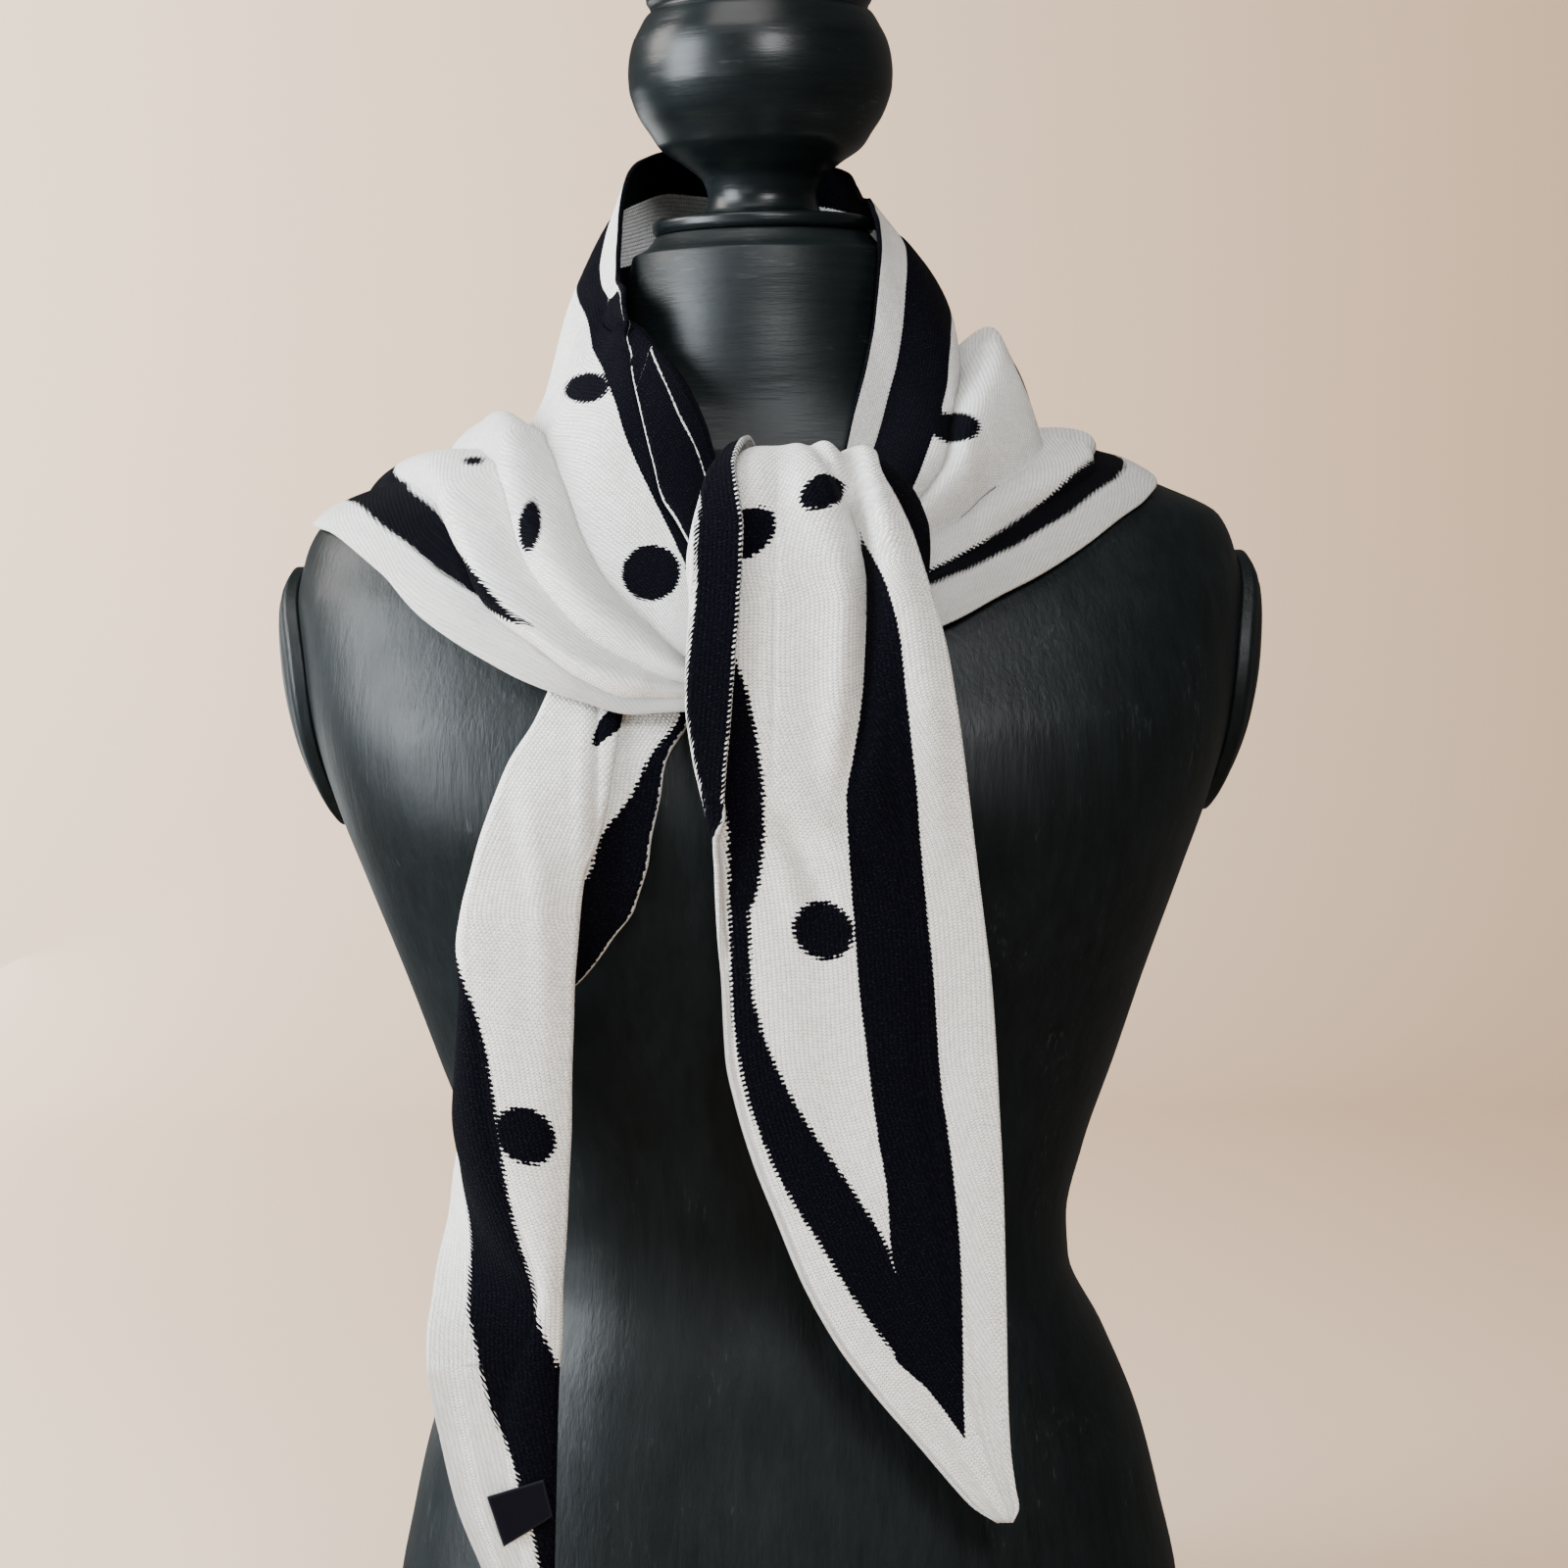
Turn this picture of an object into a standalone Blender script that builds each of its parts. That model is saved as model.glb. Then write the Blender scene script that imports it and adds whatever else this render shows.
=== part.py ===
"""A triangular knitted scarf tied on a limbless dress form, built at real size.

Metres, +Z up.  The form stands on z = 0 with its axis on the Z axis and its chest towards -Y.
A bearing is an angle round that axis in degrees: 0 at the chest (-Y), 90 at the left of the
picture (-X), 180 at the back and 270 at the right.  Cloth is a surface worked out from short
tables, one row for each section, and a Solidify modifier gives it its wall.
"""
import bmesh
import bpy
import numpy as np

# ---------------------------------------------------------------- driving sizes
CLOTH_WALL = 0.0020          # knitted wall
LABEL_WALL = 0.0006
SEAM = 0.0003                # space between pieces that touch
NECK_TOP = 0.6535            # top of the neck, under the finial's foot plate
FLOOR = 0.0

# ---------------------------------------------------------------- dress form
# Torso and neck sections: a rounded oblong each, from the floor to the top of the neck.
TORSO_COLUMNS = ("z", "half_width", "front", "back", "squareness")
TORSO_ROWS = (
    (0.0000, .1660, .1050, .1120, 2.5),
    (0.0400, .1690, .1070, .1160, 2.5),
    (0.0850, .1660, .1040, .1150, 2.5),
    (0.1200, .1590, .1000, .1100, 2.5),
    (0.1550, .1505, .0950, .1020, 2.5),
    (0.1900, .1367, .0900, .0930, 2.4),
    (0.2230, .1217, .0840, .0850, 2.3),
    (0.2400, .1210, .0830, .0830, 2.3),
    (0.2700, .1280, .0860, .0840, 2.3),
    (0.3100, .1420, .0950, .0870, 2.4),
    (0.3500, .1555, .1080, .0910, 2.5),
    (0.3900, .1700, .1200, .0950, 2.6),
    (0.4200, .1810, .1260, .0980, 2.6),
    (0.4500, .1900, .1220, .1010, 2.6),
    (0.4800, .1950, .1100, .1030, 2.5),
    (0.5050, .1970, .0980, .1010, 2.4),
    (0.5220, .1940, .0880, .0960, 2.3),
    (0.5350, .1880, .0800, .0900, 2.3),
    (0.5480, .1630, .0740, .0830, 2.2),
    (0.5600, .1320, .0680, .0750, 2.1),
    (0.5720, .1000, .0640, .0690, 2.0),
    (0.5850, .0700, .0610, .0650, 2.0),
    (0.6000, .0605, .0600, .0600, 2.0),
    (0.6200, .0575, .0575, .0575, 2.0),
    (0.6450, .0547, .0547, .0547, 2.0),
    (0.6480, .0494, .0494, .0494, 2.0),
    (NECK_TOP, .0445, .0445, .0445, 2.0),
)
TORSO_SIDES = 44

# Finial, turned: radius and height of its outline from the cap down to the foot plate.
FINIAL_OUTLINE = (
    (.0000, .7760), (.0160, .7755), (.0300, .7730), (.0400, .7690), (.0462, .7625),
    (.0470, .7560), (.0468, .7500), (.0452, .7470), (.0450, .7452), (.0466, .7440),
    (.0501, .7384), (.0530, .7324), (.0544, .7264), (.0549, .7204), (.0546, .7144),
    (.0530, .7084), (.0504, .7024), (.0463, .6963), (.0420, .6900), (.0327, .6835),
    (.0245, .6760), (.0227, .6690), (.0245, .6630), (.0290, .6606), (.0440, .6601),
    (.0461, .6585), (.0461, .6558), (.0452, .6545), (.0438, NECK_TOP + SEAM),
    (.0000, NECK_TOP + SEAM),
)
FINIAL_STEPS = 28

# Domed plates over the armholes: centre, half sizes, edge thickness and rise of the dome.
PLATE_CENTRE_Y = 0.012
PLATE_CENTRE_Z = 0.465
PLATE_HALF_DEPTH = 0.045
PLATE_HALF_HEIGHT = 0.055
PLATE_EDGE = 0.0035
PLATE_RISE = 0.0070
PLATE_RINGS = 4
PLATE_SPOKES = 28

# ---------------------------------------------------------------- scarf round the shoulders
# Collar: the line 18 mm inside the neck edge, where the edge may turn over.
# lean is the slope of the strip above that line, strip its length in the section, and
# turn how far it is turned over outwards, in degrees.
COLLAR_COLUMNS = ("bearing", "radius", "z", "lean", "strip", "turn")
COLLAR_ROWS = (
    (10, .0925, .5420, -15, .0450, 180),
    (13, .0880, .5540, -15, .0510, 180),
    (17, .0822, .5700, -16, .0570, 180),
    (22, .0786, .5828, -17, .0570, 180),
    (27, .0760, .5918, -17, .0470, 180),
    (32, .0742, .5980, -17, .0360, 178),
    (37, .0726, .6032, -16, .0265, 172),
    (43, .0714, .6095, -15, .0165, 155),
    (47, .0714, .6115, -15, .0130, 130),
    (51, .0716, .6125, -15, .0130, 95),
    (54, .0718, .6130, -16, .0150, 60),
    (57, .0720, .6130, -17, .0175, 30),
    (62, .0725, .6150, -19, .0185, 8),
    (70, .0705, .6260, -23, .0185, 0),
    (80, .0685, .6370, -27, .0185, 0),
    (90, .0660, .6500, -24, .0181, 0),
    (105, .0635, .6660, -20, .0180, 0),
    (120, .0610, .6720, -10, .0180, 0),
    (140, .0615, .6770, -9.5, .0180, 0),
    (180, .0610, .6740, -9.5, .0180, 0),
    (205, .0615, .6710, -9.5, .0180, 0),
    (220, .0600, .6670, -16, .0180, 0),
    (235, .0570, .6600, -29, .0183, 0),
    (250, .0560, .6550, -38, .0188, 0),
    (270, .0560, .6525, -38, .0196, 0),
    (285, .0600, .6450, -36, .0231, 0),
    (298, .0650, .6320, -27, .0270, 0),
    (309, .0705, .6090, -19, .0320, 0),
    (314, .0730, .5970, -19, .0310, 0),
    (319, .0752, .5860, -20, .0272, 0),
    (326, .0795, .5690, -19, .0275, 0),
    (333, .0845, .5520, -18, .0274, 0),
    (338, .0893, .5360, -17, .0272, 0),
    (344, .0955, .5200, -15, .0260, 0),
)
# Creases between the rolls, given by height on the drape; edge is the lower edge,
# rest where the drape meets the shoulder and lift how far it stays off the form.
DRAPE_COLUMNS = ("bearing", "crease_1", "crease_2", "crease_3", "edge", "rest", "lift")
DRAPE_ROWS = (
    (10, .4760, .4720, .4690, .4640, .5020, .0155),
    (15, .4827, .4740, .4690, .4640, .5080, .0140),
    (22, .4960, .4800, .4690, .4630, .5160, .0130),
    (30, .5110, .4900, .4760, .4680, .5260, .0135),
    (38, .5290, .5050, .4880, .4745, .5380, .0122),
    (47, .5500, .5230, .5010, .4846, .5500, .0090),
    (57, .5640, .5480, .5240, .4985, .5600, .0055),
    (67, .5710, .5600, .5450, .5174, .5680, .0032),
    (80, .5740, .5655, .5535, .5350, .5720, .0026),
    (90, .5745, .5650, .5515, .5375, .5720, .0025),
    (100, .5720, .5580, .5430, .5300, .5710, .0025),
    (106, .5700, .5530, .5370, .5180, .5700, .0034),
    (111, .5685, .5480, .5270, .4880, .5690, .0046),
    (120, .5660, .5400, .5100, .4350, .5660, .0040),
    (130, .5620, .5290, .4890, .3970, .5640, .0028),
    (140, .5580, .5180, .4680, .3600, .5620, .0023),
    (160, .5520, .5000, .4350, .2920, .5600, .0023),
    (172, .5505, .4950, .4240, .2590, .5600, .0023),
    (180, .5500, .4930, .4200, .2480, .5600, .0023),
    (188, .5505, .4950, .4240, .2590, .5600, .0023),
    (200, .5520, .5000, .4350, .2920, .5600, .0023),
    (220, .5600, .5200, .4720, .3850, .5620, .0034),
    (232, .5720, .5400, .5080, .4600, .5660, .0046),
    (242, .5820, .5560, .5380, .5150, .5690, .0044),
    (252, .5910, .5670, .5560, .5430, .5715, .0036),
    (260, .5955, .5700, .5600, .5500, .5730, .0026),
    (270, .6000, .5712, .5622, .5540, .5745, .0026),
    (285, .5920, .5672, .5574, .5447, .5730, .0028),
    (291, .5880, .5620, .5510, .5380, .5705, .0032),
    (303, .5780, .5510, .5400, .5206, .5635, .0042),
    (311, .5660, .5430, .5320, .5110, .5560, .0050),
    (317, .5530, .5350, .5230, .5050, .5460, .0058),
    (326, .5380, .5270, .5150, .4955, .5340, .0068),
    (333, .5250, .5170, .5080, .4900, .5240, .0075),
    (338, .5150, .5090, .5020, .4870, .5160, .0080),
    (344, .5050, .5000, .4940, .4840, .5060, .0090),
)
# Rolls between the creases: height of each, where its crest lies between its two creases
# (0 to 1) and how far the crest leans down the drape. For the second roll also the fullness
# of its lower slope, and how much it stands square on its chord (1) or on the drape (0).
ROLL_COLUMNS = ("bearing", "height_1", "height_2", "height_3", "height_4",
                "crest_1", "crest_2", "crest_3", "lean_1", "lean_2", "lean_3", "full_2",
                "steady_2")
ROLL_ROWS = (
    (10, .0020, .0040, .0050, .0010, .60, .50, .50, .000, .000, .000, 1.75, 0.0),
    (22, .0025, .0070, .0080, .0010, .60, .50, .55, .000, .001, .002, 1.75, 0.0),
    (38, .0030, .0090, .0090, .0010, .60, .50, .60, .001, .002, .003, 1.75, 0.0),
    (57, .0035, .0115, .0090, .0015, .50, .50, .60, .001, .001, .003, 1.75, 0.0),
    (75, .0065, .0120, .0080, .0015, .42, .45, .60, .001, -.001, .003, 1.75, 0.0),
    (90, .0080, .0120, .0070, .0015, .38, .42, .60, .000, -.002, .003, 1.75, 0.0),
    (110, .0060, .0150, .0070, .0030, .40, .45, .60, .000, -.001, .001, 1.75, 0.0),
    (140, .0030, .0080, .0070, .0050, .50, .50, .55, .000, .000, .000, 1.75, 0.0),
    (180, .0030, .0060, .0070, .0060, .50, .50, .50, .000, .000, .000, 1.75, 0.0),
    (220, .0040, .0090, .0070, .0050, .50, .45, .50, .000, -.002, .000, 1.60, 0.4),
    (250, .0040, .0205, .0065, .0030, .60, .32, .55, .002, -.004, .000, 1.40, 1.0),
    (270, .0060, .0285, .0060, .0015, .50, .32, .66, .003, -.006, .005, 1.40, 1.0),
    (285, .0080, .0278, .0062, .0015, .50, .32, .68, .004, -.006, .004, 1.40, 1.0),
    (300, .0085, .0200, .0058, .0015, .56, .35, .65, .005, -.005, .001, 1.50, 0.8),
    (312, .0080, .0160, .0040, .0010, .66, .38, .50, .006, -.006, .000, 1.75, 0.3),
    (318, .0095, .0120, .0030, .0010, .66, .40, .50, .006, -.004, .000, 1.75, 0.1),
    (326, .0100, .0070, .0025, .0010, .62, .40, .50, .004, -.002, .000, 1.75, 0.0),
    (336, .0050, .0040, .0020, .0010, .60, .50, .50, .003, .000, .000, 1.75, 0.0),
    (344, .0030, .0030, .0015, .0010, .60, .50, .50, .000, .000, .000, 1.75, 0.0),
)
TURN_RADIUS = 0.0026          # bend of the turned neck edge
COLLAR_FULLNESS = 0.22        # how far the collar keeps its lean below the turning line
REST_FULLNESS = 0.30          # how far the drape keeps the shoulder's slope above its rest
BUMP_POWER = 0.85             # below 1 a roll is rounder and its creases are sharper
ROLL_FULLNESS = 1.75          # higher is a fuller slope below the crest
SHAWL_COUNTS = (5, 5, 6, 6, 6)      # cells across the strip and the four stretches
SHAWL_BEARINGS = np.concatenate((
    np.linspace(10, 34, 7)[:-1], np.linspace(34, 62, 10)[:-1], np.linspace(62, 110, 10)[:-1],
    np.linspace(110, 130, 5)[:-1], np.linspace(130, 220, 10)[:-1], np.linspace(220, 256, 7)[:-1],
    np.linspace(256, 300, 9)[:-1], np.linspace(300, 344, 13),
))

# ---------------------------------------------------------------- tail in front
# Each row is a section across the tail, followed down its length from behind the crest.
# flap is the width of the left edge that is folded over to the front by turn degrees;
# gap is the furrow beside the right-hand roll, and roll the height of that roll.
FRONT_TAIL_COLUMNS = ("y", "z", "left", "right", "flap", "turn", "bulge", "gap_at", "gap", "roll")
FRONT_TAIL_ROWS = (
    (-.0860, .5400, -.0020, .0160, .0060, 170, .0010, .0100, .0000, .0000),
    (-.0885, .5500, -.0040, .0190, .0070, 172, .0015, .0130, .0010, .0010),
    (-.0945, .5570, -.0070, .0270, .0085, 175, .0025, .0200, .0030, .0020),
    (-.1045, .5600, -.0100, .0370, .0100, 178, .0040, .0270, .0060, .0035),
    (-.1160, .5590, -.0125, .0412, .0120, 180, .0055, .0300, .0090, .0050),
    (-.1270, .5515, -.0190, .0430, .0160, 180, .0060, .0320, .0105, .0055),
    (-.1345, .5415, -.0222, .0482, .0205, 180, .0060, .0335, .0110, .0055),
    (-.1390, .5300, -.0254, .0536, .0250, 180, .0055, .0350, .0105, .0050),
    (-.1420, .5180, -.0272, .0575, .0260, 180, .0050, .0362, .0095, .0045),
    (-.1440, .5040, -.0264, .0615, .0240, 180, .0050, .0368, .0080, .0040),
    (-.1455, .4880, -.0276, .0658, .0235, 180, .0045, .0358, .0060, .0035),
    (-.1460, .4690, -.0285, .0690, .0225, 180, .0040, .0340, .0045, .0030),
    (-.1450, .4470, -.0264, .0720, .0180, 180, .0040, .0305, .0028, .0020),
    (-.1430, .4302, -.0230, .0740, .0128, 178, .0035, .0280, .0010, .0010),
    (-.1410, .4170, -.0205, .0755, .0085, 150, .0030, .0280, .0003, .0005),
    (-.1392, .4020, -.0186, .0772, .0058, 90, .0030, .0280, .0000, .0000),
    (-.1370, .3800, -.0184, .0797, .0036, 30, .0030, .0280, .0000, .0000),
    (-.1345, .3600, -.0177, .0820, .0032, 0, .0028, .0280, .0000, .0000),
    (-.1310, .3310, -.0168, .0838, .0032, 0, .0025, .0280, .0000, .0000),
    (-.1295, .3120, -.0133, .0846, .0032, 0, .0022, .0280, .0000, .0000),
    (-.1285, .2885, -.0068, .0856, .0032, 0, .0020, .0280, .0000, .0000),
    (-.1280, .2660, .0016, .0862, .0032, 0, .0018, .0280, .0000, .0000),
    (-.1275, .2412, .0112, .0865, .0032, 0, .0015, .0280, .0000, .0000),
    (-.1270, .2172, .0238, .0867, .0032, 0, .0012, .0280, .0000, .0000),
    (-.1266, .1975, .0378, .0868, .0032, 0, .0010, .0280, .0000, .0000),
    (-.1262, .1762, .0550, .0875, .0032, 0, .0008, .0280, .0000, .0000),
    (-.1260, .1585, .0690, .0895, .0030, 0, .0005, .0280, .0000, .0000),
    (-.1259, .1510, .0755, .0907, .0026, 0, .0003, .0280, .0000, .0000),
    (-.1258, .1450, .0838, .0882, .0018, 0, .0000, .0280, .0000, .0000),
)
FRONT_TAIL_COUNTS = (5, 11)         # cells across the flap and the panel
FRONT_TAIL_STATIONS = 36
FLAP_RADIUS = 0.0026
GAP_HALF_WIDTH = 0.0055
ROLL_HALF_WIDTH = 0.0100
ROLL_INSET = 0.0100                 # the roll's crest, in from the right edge

# ---------------------------------------------------------------- tail at the left
# The left part is folded behind the panel at the top and opens to the left lower down.
# flap, turn and bend: its width, how far it is turned and the radius of its bend.
LEFT_TAIL_COLUMNS = ("z", "y", "left", "right", "flap", "turn", "bend", "bulge", "back_flap")
LEFT_TAIL_ROWS = (
    (.4785, -.1158, -.0800, -.0560, .0560, 180, .0016, .0002, .0080),
    (.4700, -.1190, -.0835, -.0580, .0590, 180, .0017, .0004, .0090),
    (.4600, -.1240, -.0880, -.0598, .0630, 180, .0019, .0008, .0100),
    (.4450, -.1305, -.0970, -.0626, .0650, 180, .0026, .0018, .0110),
    (.4300, -.1342, -.1032, -.0650, .0690, 180, .0028, .0022, .0120),
    (.4150, -.1352, -.1085, -.0690, .0714, 180, .0030, .0026, .0120),
    (.4030, -.1350, -.1118, -.0742, .0733, 180, .0032, .0028, .0120),
    (.3890, -.1342, -.1155, -.0764, .0728, 179, .0034, .0030, .0120),
    (.3760, -.1335, -.1172, -.0778, .0670, 176, .0040, .0030, .0120),
    (.3600, -.1325, -.1160, -.0795, .0580, 165, .0050, .0030, .0120),
    (.3450, -.1315, -.1150, -.0803, .0500, 142, .0072, .0030, .0120),
    (.3250, -.1305, -.1138, -.0815, .0470, 116, .0104, .0028, .0120),
    (.3030, -.1293, -.1110, -.0823, .0465, 96, .0150, .0025, .0120),
    (.2830, -.1282, -.1062, -.0838, .0465, 76, .0165, .0022, .0120),
    (.2627, -.1270, -.0995, -.0852, .0460, 54, .0180, .0018, .0120),
    (.2386, -.1258, -.0940, -.0874, .0440, 18, .0150, .0012, .0120),
    (.2225, -.1250, -.0980, -.0880, .0405, 6, .0200, .0010, .0120),
    (.2060, -.1243, -.1050, -.0896, .0332, 2, .0200, .0010, .0115),
    (.1860, -.1236, -.1090, -.0908, .0260, 0, .0200, .0010, .0110),
    (.1560, -.1226, -.1070, -.0922, .0218, 0, .0200, .0010, .0090),
    (.1290, -.1218, -.1030, -.0935, .0162, 0, .0200, .0008, .0070),
    (.1050, -.1212, -.0990, -.0945, .0105, 0, .0200, .0005, .0050),
    (.0860, -.1208, -.0965, -.0950, .0055, 0, .0200, .0002, .0035),
    (.0760, -.1206, -.0958, -.0950, .0028, 0, .0200, .0000, .0025),
)
LEFT_TAIL_COUNTS = (8, 6, 4)        # cells across the left flap, the panel and the back flap
LEFT_TAIL_STATIONS = 32
BACK_FLAP_TURN = 176
BACK_FLAP_BEND = 0.0016

# ---------------------------------------------------------------- loop beside the tie
LOOP_COLUMNS = ("z", "right", "y", "curl")
LOOP_ROWS = (
    (.5570, .0445, -.1120, .0065),
    (.5535, .0490, -.1152, .0095),
    (.5458, .0559, -.1177, .0125),
    (.5384, .0595, -.1187, .0145),
    (.5313, .0616, -.1192, .0150),
    (.5242, .0619, -.1197, .0150),
    (.5157, .0614, -.1202, .0145),
    (.5060, .0600, -.1207, .0122),
    (.4970, .0570, -.1214, .0100),
)
LOOP_LEFT = 0.0300
LOOP_STATIONS = 12
LOOP_CELLS = 6

# ---------------------------------------------------------------- label
LABEL_CORNERS = ((-.1163, .1588), (-.0940, .1652), (-.0908, .1505), (-.1103, .1388))
LABEL_CELLS = (4, 3)

# ---------------------------------------------------------------- paint and yarn
CREAM_YARN = (0.735, 0.700, 0.650)
BLACK_YARN = (0.010, 0.010, 0.014)
FORM_PAINT = (0.030, 0.041, 0.041)


# ================================================================ curves and tables
def monotone(x, knots, values):
    """Smooth curve through the knots that never overshoots them (Fritsch-Carlson cubic)."""
    knots = np.asarray(knots, float)
    values = np.asarray(values, float)
    step = np.diff(knots)
    slope = np.diff(values) / step
    rate = np.zeros_like(values)
    near = 2 * step[1:] + step[:-1]
    far = step[1:] + 2 * step[:-1]
    agree = slope[:-1] * slope[1:] > 0
    before = np.where(agree, slope[:-1], 1.0)
    after = np.where(agree, slope[1:], 1.0)
    rate[1:-1] = np.where(agree, (near + far) / (near / before + far / after), 0.0)
    rate[0] = slope[0]
    rate[-1] = slope[-1]
    x = np.asarray(x, float)
    i = np.clip(np.searchsorted(knots, x, side="right") - 1, 0, len(knots) - 2)
    t = np.clip((x - knots[i]) / step[i], 0.0, 1.0)
    start = (1 + 2 * t) * (1 - t) ** 2 * values[i] + t * (1 - t) ** 2 * step[i] * rate[i]
    end = t * t * (3 - 2 * t) * values[i + 1] + t * t * (t - 1) * step[i] * rate[i + 1]
    return start + end


def column(rows, columns, name, at, key=None):
    """The named column of a table, read smoothly at the given values of its key column."""
    table = np.array(rows, float)
    knots = table[:, columns.index(key or columns[0])]
    return monotone(at, knots, table[:, columns.index(name)])


def ease(t):
    """Smooth step from 0 to 1."""
    t = np.clip(t, 0.0, 1.0)
    return t * t * (3 - 2 * t)


def running(points):
    """Distance along a polyline at each of its points."""
    steps = np.linalg.norm(np.diff(points, axis=0), axis=1)
    return np.concatenate(([0.0], np.cumsum(steps)))


def along(points, at):
    """Points of a polyline at the given distances along it."""
    run = running(points)
    return np.stack([np.interp(at, run, points[:, i]) for i in range(points.shape[1])], axis=1)


def directions(points):
    """Unit direction of a polyline at each of its points."""
    flow = np.gradient(points, axis=0)
    return flow / np.linalg.norm(flow, axis=1)[:, None]


# ================================================================ dress form
def form_radius(bearing, z):
    """Distance of the form's surface from its axis at a bearing and height.

    A section is |sin|^n / a^n + |cos|^n / b^n = 1 / r^n, with a the half width and b the
    depth to the front or the back.
    """
    z = np.clip(z, FLOOR, NECK_TOP)
    side = np.abs(np.sin(np.radians(bearing)))
    ahead = np.cos(np.radians(bearing))
    half_width, front, back, power = (
        column(TORSO_ROWS, TORSO_COLUMNS, name, z)
        for name in ("half_width", "front", "back", "squareness"))
    depth = np.where(ahead > 0, front, back)
    total = (side / half_width) ** power + (np.abs(ahead) / depth) ** power
    return total ** (-1 / power)


def form_side(y, z):
    """Half width of the form at a depth y and height z."""
    half_width, front, back, power = (
        column(TORSO_ROWS, TORSO_COLUMNS, name, z)
        for name in ("half_width", "front", "back", "squareness"))
    depth = np.where(y < 0, front, back)
    return half_width * (1 - (np.abs(y) / depth) ** power) ** (1 / power)


def ring(bearing, radius, z):
    """Cylindrical place to x, y, z."""
    angle = np.radians(bearing)
    return np.stack(np.broadcast_arrays(-radius * np.sin(angle), -radius * np.cos(angle), z), -1)


def torso_points():
    """Sections from the floor to the neck, on a grid of height and bearing."""
    table = np.array(TORSO_ROWS)
    heights = np.sort(np.concatenate((table[:, 0], (.0010, .0650, .2000))))
    bearings = np.linspace(0, 360, TORSO_SIDES, endpoint=False)
    return ring(bearings[None, :], form_radius(bearings[None, :], heights[:, None]),
                heights[:, None])


def plate_points(side):
    """Inner and outer skins of an armhole plate on a polar grid: rings by spokes."""
    reach = np.linspace(0, 1, PLATE_RINGS + 1)[1:, None]
    angle = np.linspace(0, 2 * np.pi, PLATE_SPOKES, endpoint=False)[None, :]
    y = PLATE_CENTRE_Y + PLATE_HALF_DEPTH * reach * np.cos(angle)
    z = PLATE_CENTRE_Z + PLATE_HALF_HEIGHT * reach * np.sin(angle)
    inner = form_side(y, z) + 2 * SEAM
    outer = inner + PLATE_EDGE + PLATE_RISE * np.sqrt(1 - 0.96 * reach ** 2)
    skins = [np.stack((side * x, y, z), axis=-1) for x in (inner, outer)]
    middle = float(form_side(PLATE_CENTRE_Y, PLATE_CENTRE_Z)) + 2 * SEAM
    poles = [(side * x, PLATE_CENTRE_Y, PLATE_CENTRE_Z)
             for x in (middle, middle + PLATE_EDGE + PLATE_RISE)]
    return skins, poles


# ================================================================ folded strips
def turned_strip(anchor, outward, across, length, degrees, radius, cells):
    """A strip that leaves an anchor point, bends by an arc and then runs straight.

    Goes from the free edge back to the anchor, which it leaves out.  It starts along
    outward, turns towards across, and its bend is an arc of the given radius.
    """
    turn = np.radians(degrees)
    arc = min(radius * turn, 0.6 * length)
    bent = degrees > 3
    if bent:
        inner = max(cells // 2, 2)
        distance = np.concatenate((
            np.linspace(length, arc, cells - inner + 1)[:-1],
            np.linspace(arc, 0, inner + 1)[:-1]))
    else:
        distance = np.linspace(length, 0, cells + 1)[:-1]
        arc = 0.0
    angle = np.minimum(distance, arc) / radius
    beyond = np.maximum(distance - arc, 0.0)
    points = anchor + outward * (radius * np.sin(angle))[:, None]
    points = points + across * (radius * (1 - np.cos(angle)))[:, None]
    end = arc / radius if bent else 0.0
    way = outward * np.cos(end if bent else 0.0) + across * np.sin(end if bent else 0.0)
    return points + way * beyond[:, None], beyond


# ================================================================ scarf round the shoulders
def drape_profile(bearing):
    """Section of the drape under its rolls, in (radius, z), from the turning line down.

    A cubic Bezier from the turning line to the place where the cloth rests on the shoulder,
    then the form's own outline moved out by the lift.
    """
    radius, top, lean = (float(column(COLLAR_ROWS, COLLAR_COLUMNS, name, bearing))
                         for name in ("radius", "z", "lean"))
    edge, rest, lift = (float(column(DRAPE_ROWS, DRAPE_COLUMNS, name, bearing))
                        for name in ("edge", "rest", "lift"))
    heights = np.linspace(rest + .004, min(edge, rest) - .012, 300)
    small = .0015
    form = form_radius(bearing, heights)
    slope = (form_radius(bearing, heights + small) - form_radius(bearing, heights - small))
    slope = slope / (2 * small)
    length = np.sqrt(1 + slope ** 2)
    outline = np.stack((form + lift / length, heights - lift * slope / length), axis=1)
    start = int(np.argmin(np.abs(heights - rest)))
    landing = outline[start]
    upward = outline[start - 3] - outline[start + 3]
    upward = upward / np.linalg.norm(upward)
    fold = np.array((radius, top))
    rise = np.array((np.sin(np.radians(lean)), np.cos(np.radians(lean))))
    reach = np.linalg.norm(landing - fold)
    first = fold - rise * reach * COLLAR_FULLNESS
    second = landing + upward * reach * REST_FULLNESS
    t = np.linspace(0, 1, 90)[:, None]
    collar = ((1 - t) ** 3 * fold + 3 * t * (1 - t) ** 2 * first
              + 3 * t * t * (1 - t) * second + t ** 3 * landing)
    return np.vstack((collar, outline[start + 1:])), rise


def roll_shape(t, crest, fullness=ROLL_FULLNESS):
    """Height of a roll across its width: a quarter sine up to the crest, then 1 - x^n down."""
    up = np.sin(0.5 * np.pi * np.clip(t / crest, 0, 1))
    down = 1 - np.clip((t - crest) / (1 - crest), 0, 1) ** fullness
    return np.where(t < crest, up, down) ** BUMP_POWER


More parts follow.
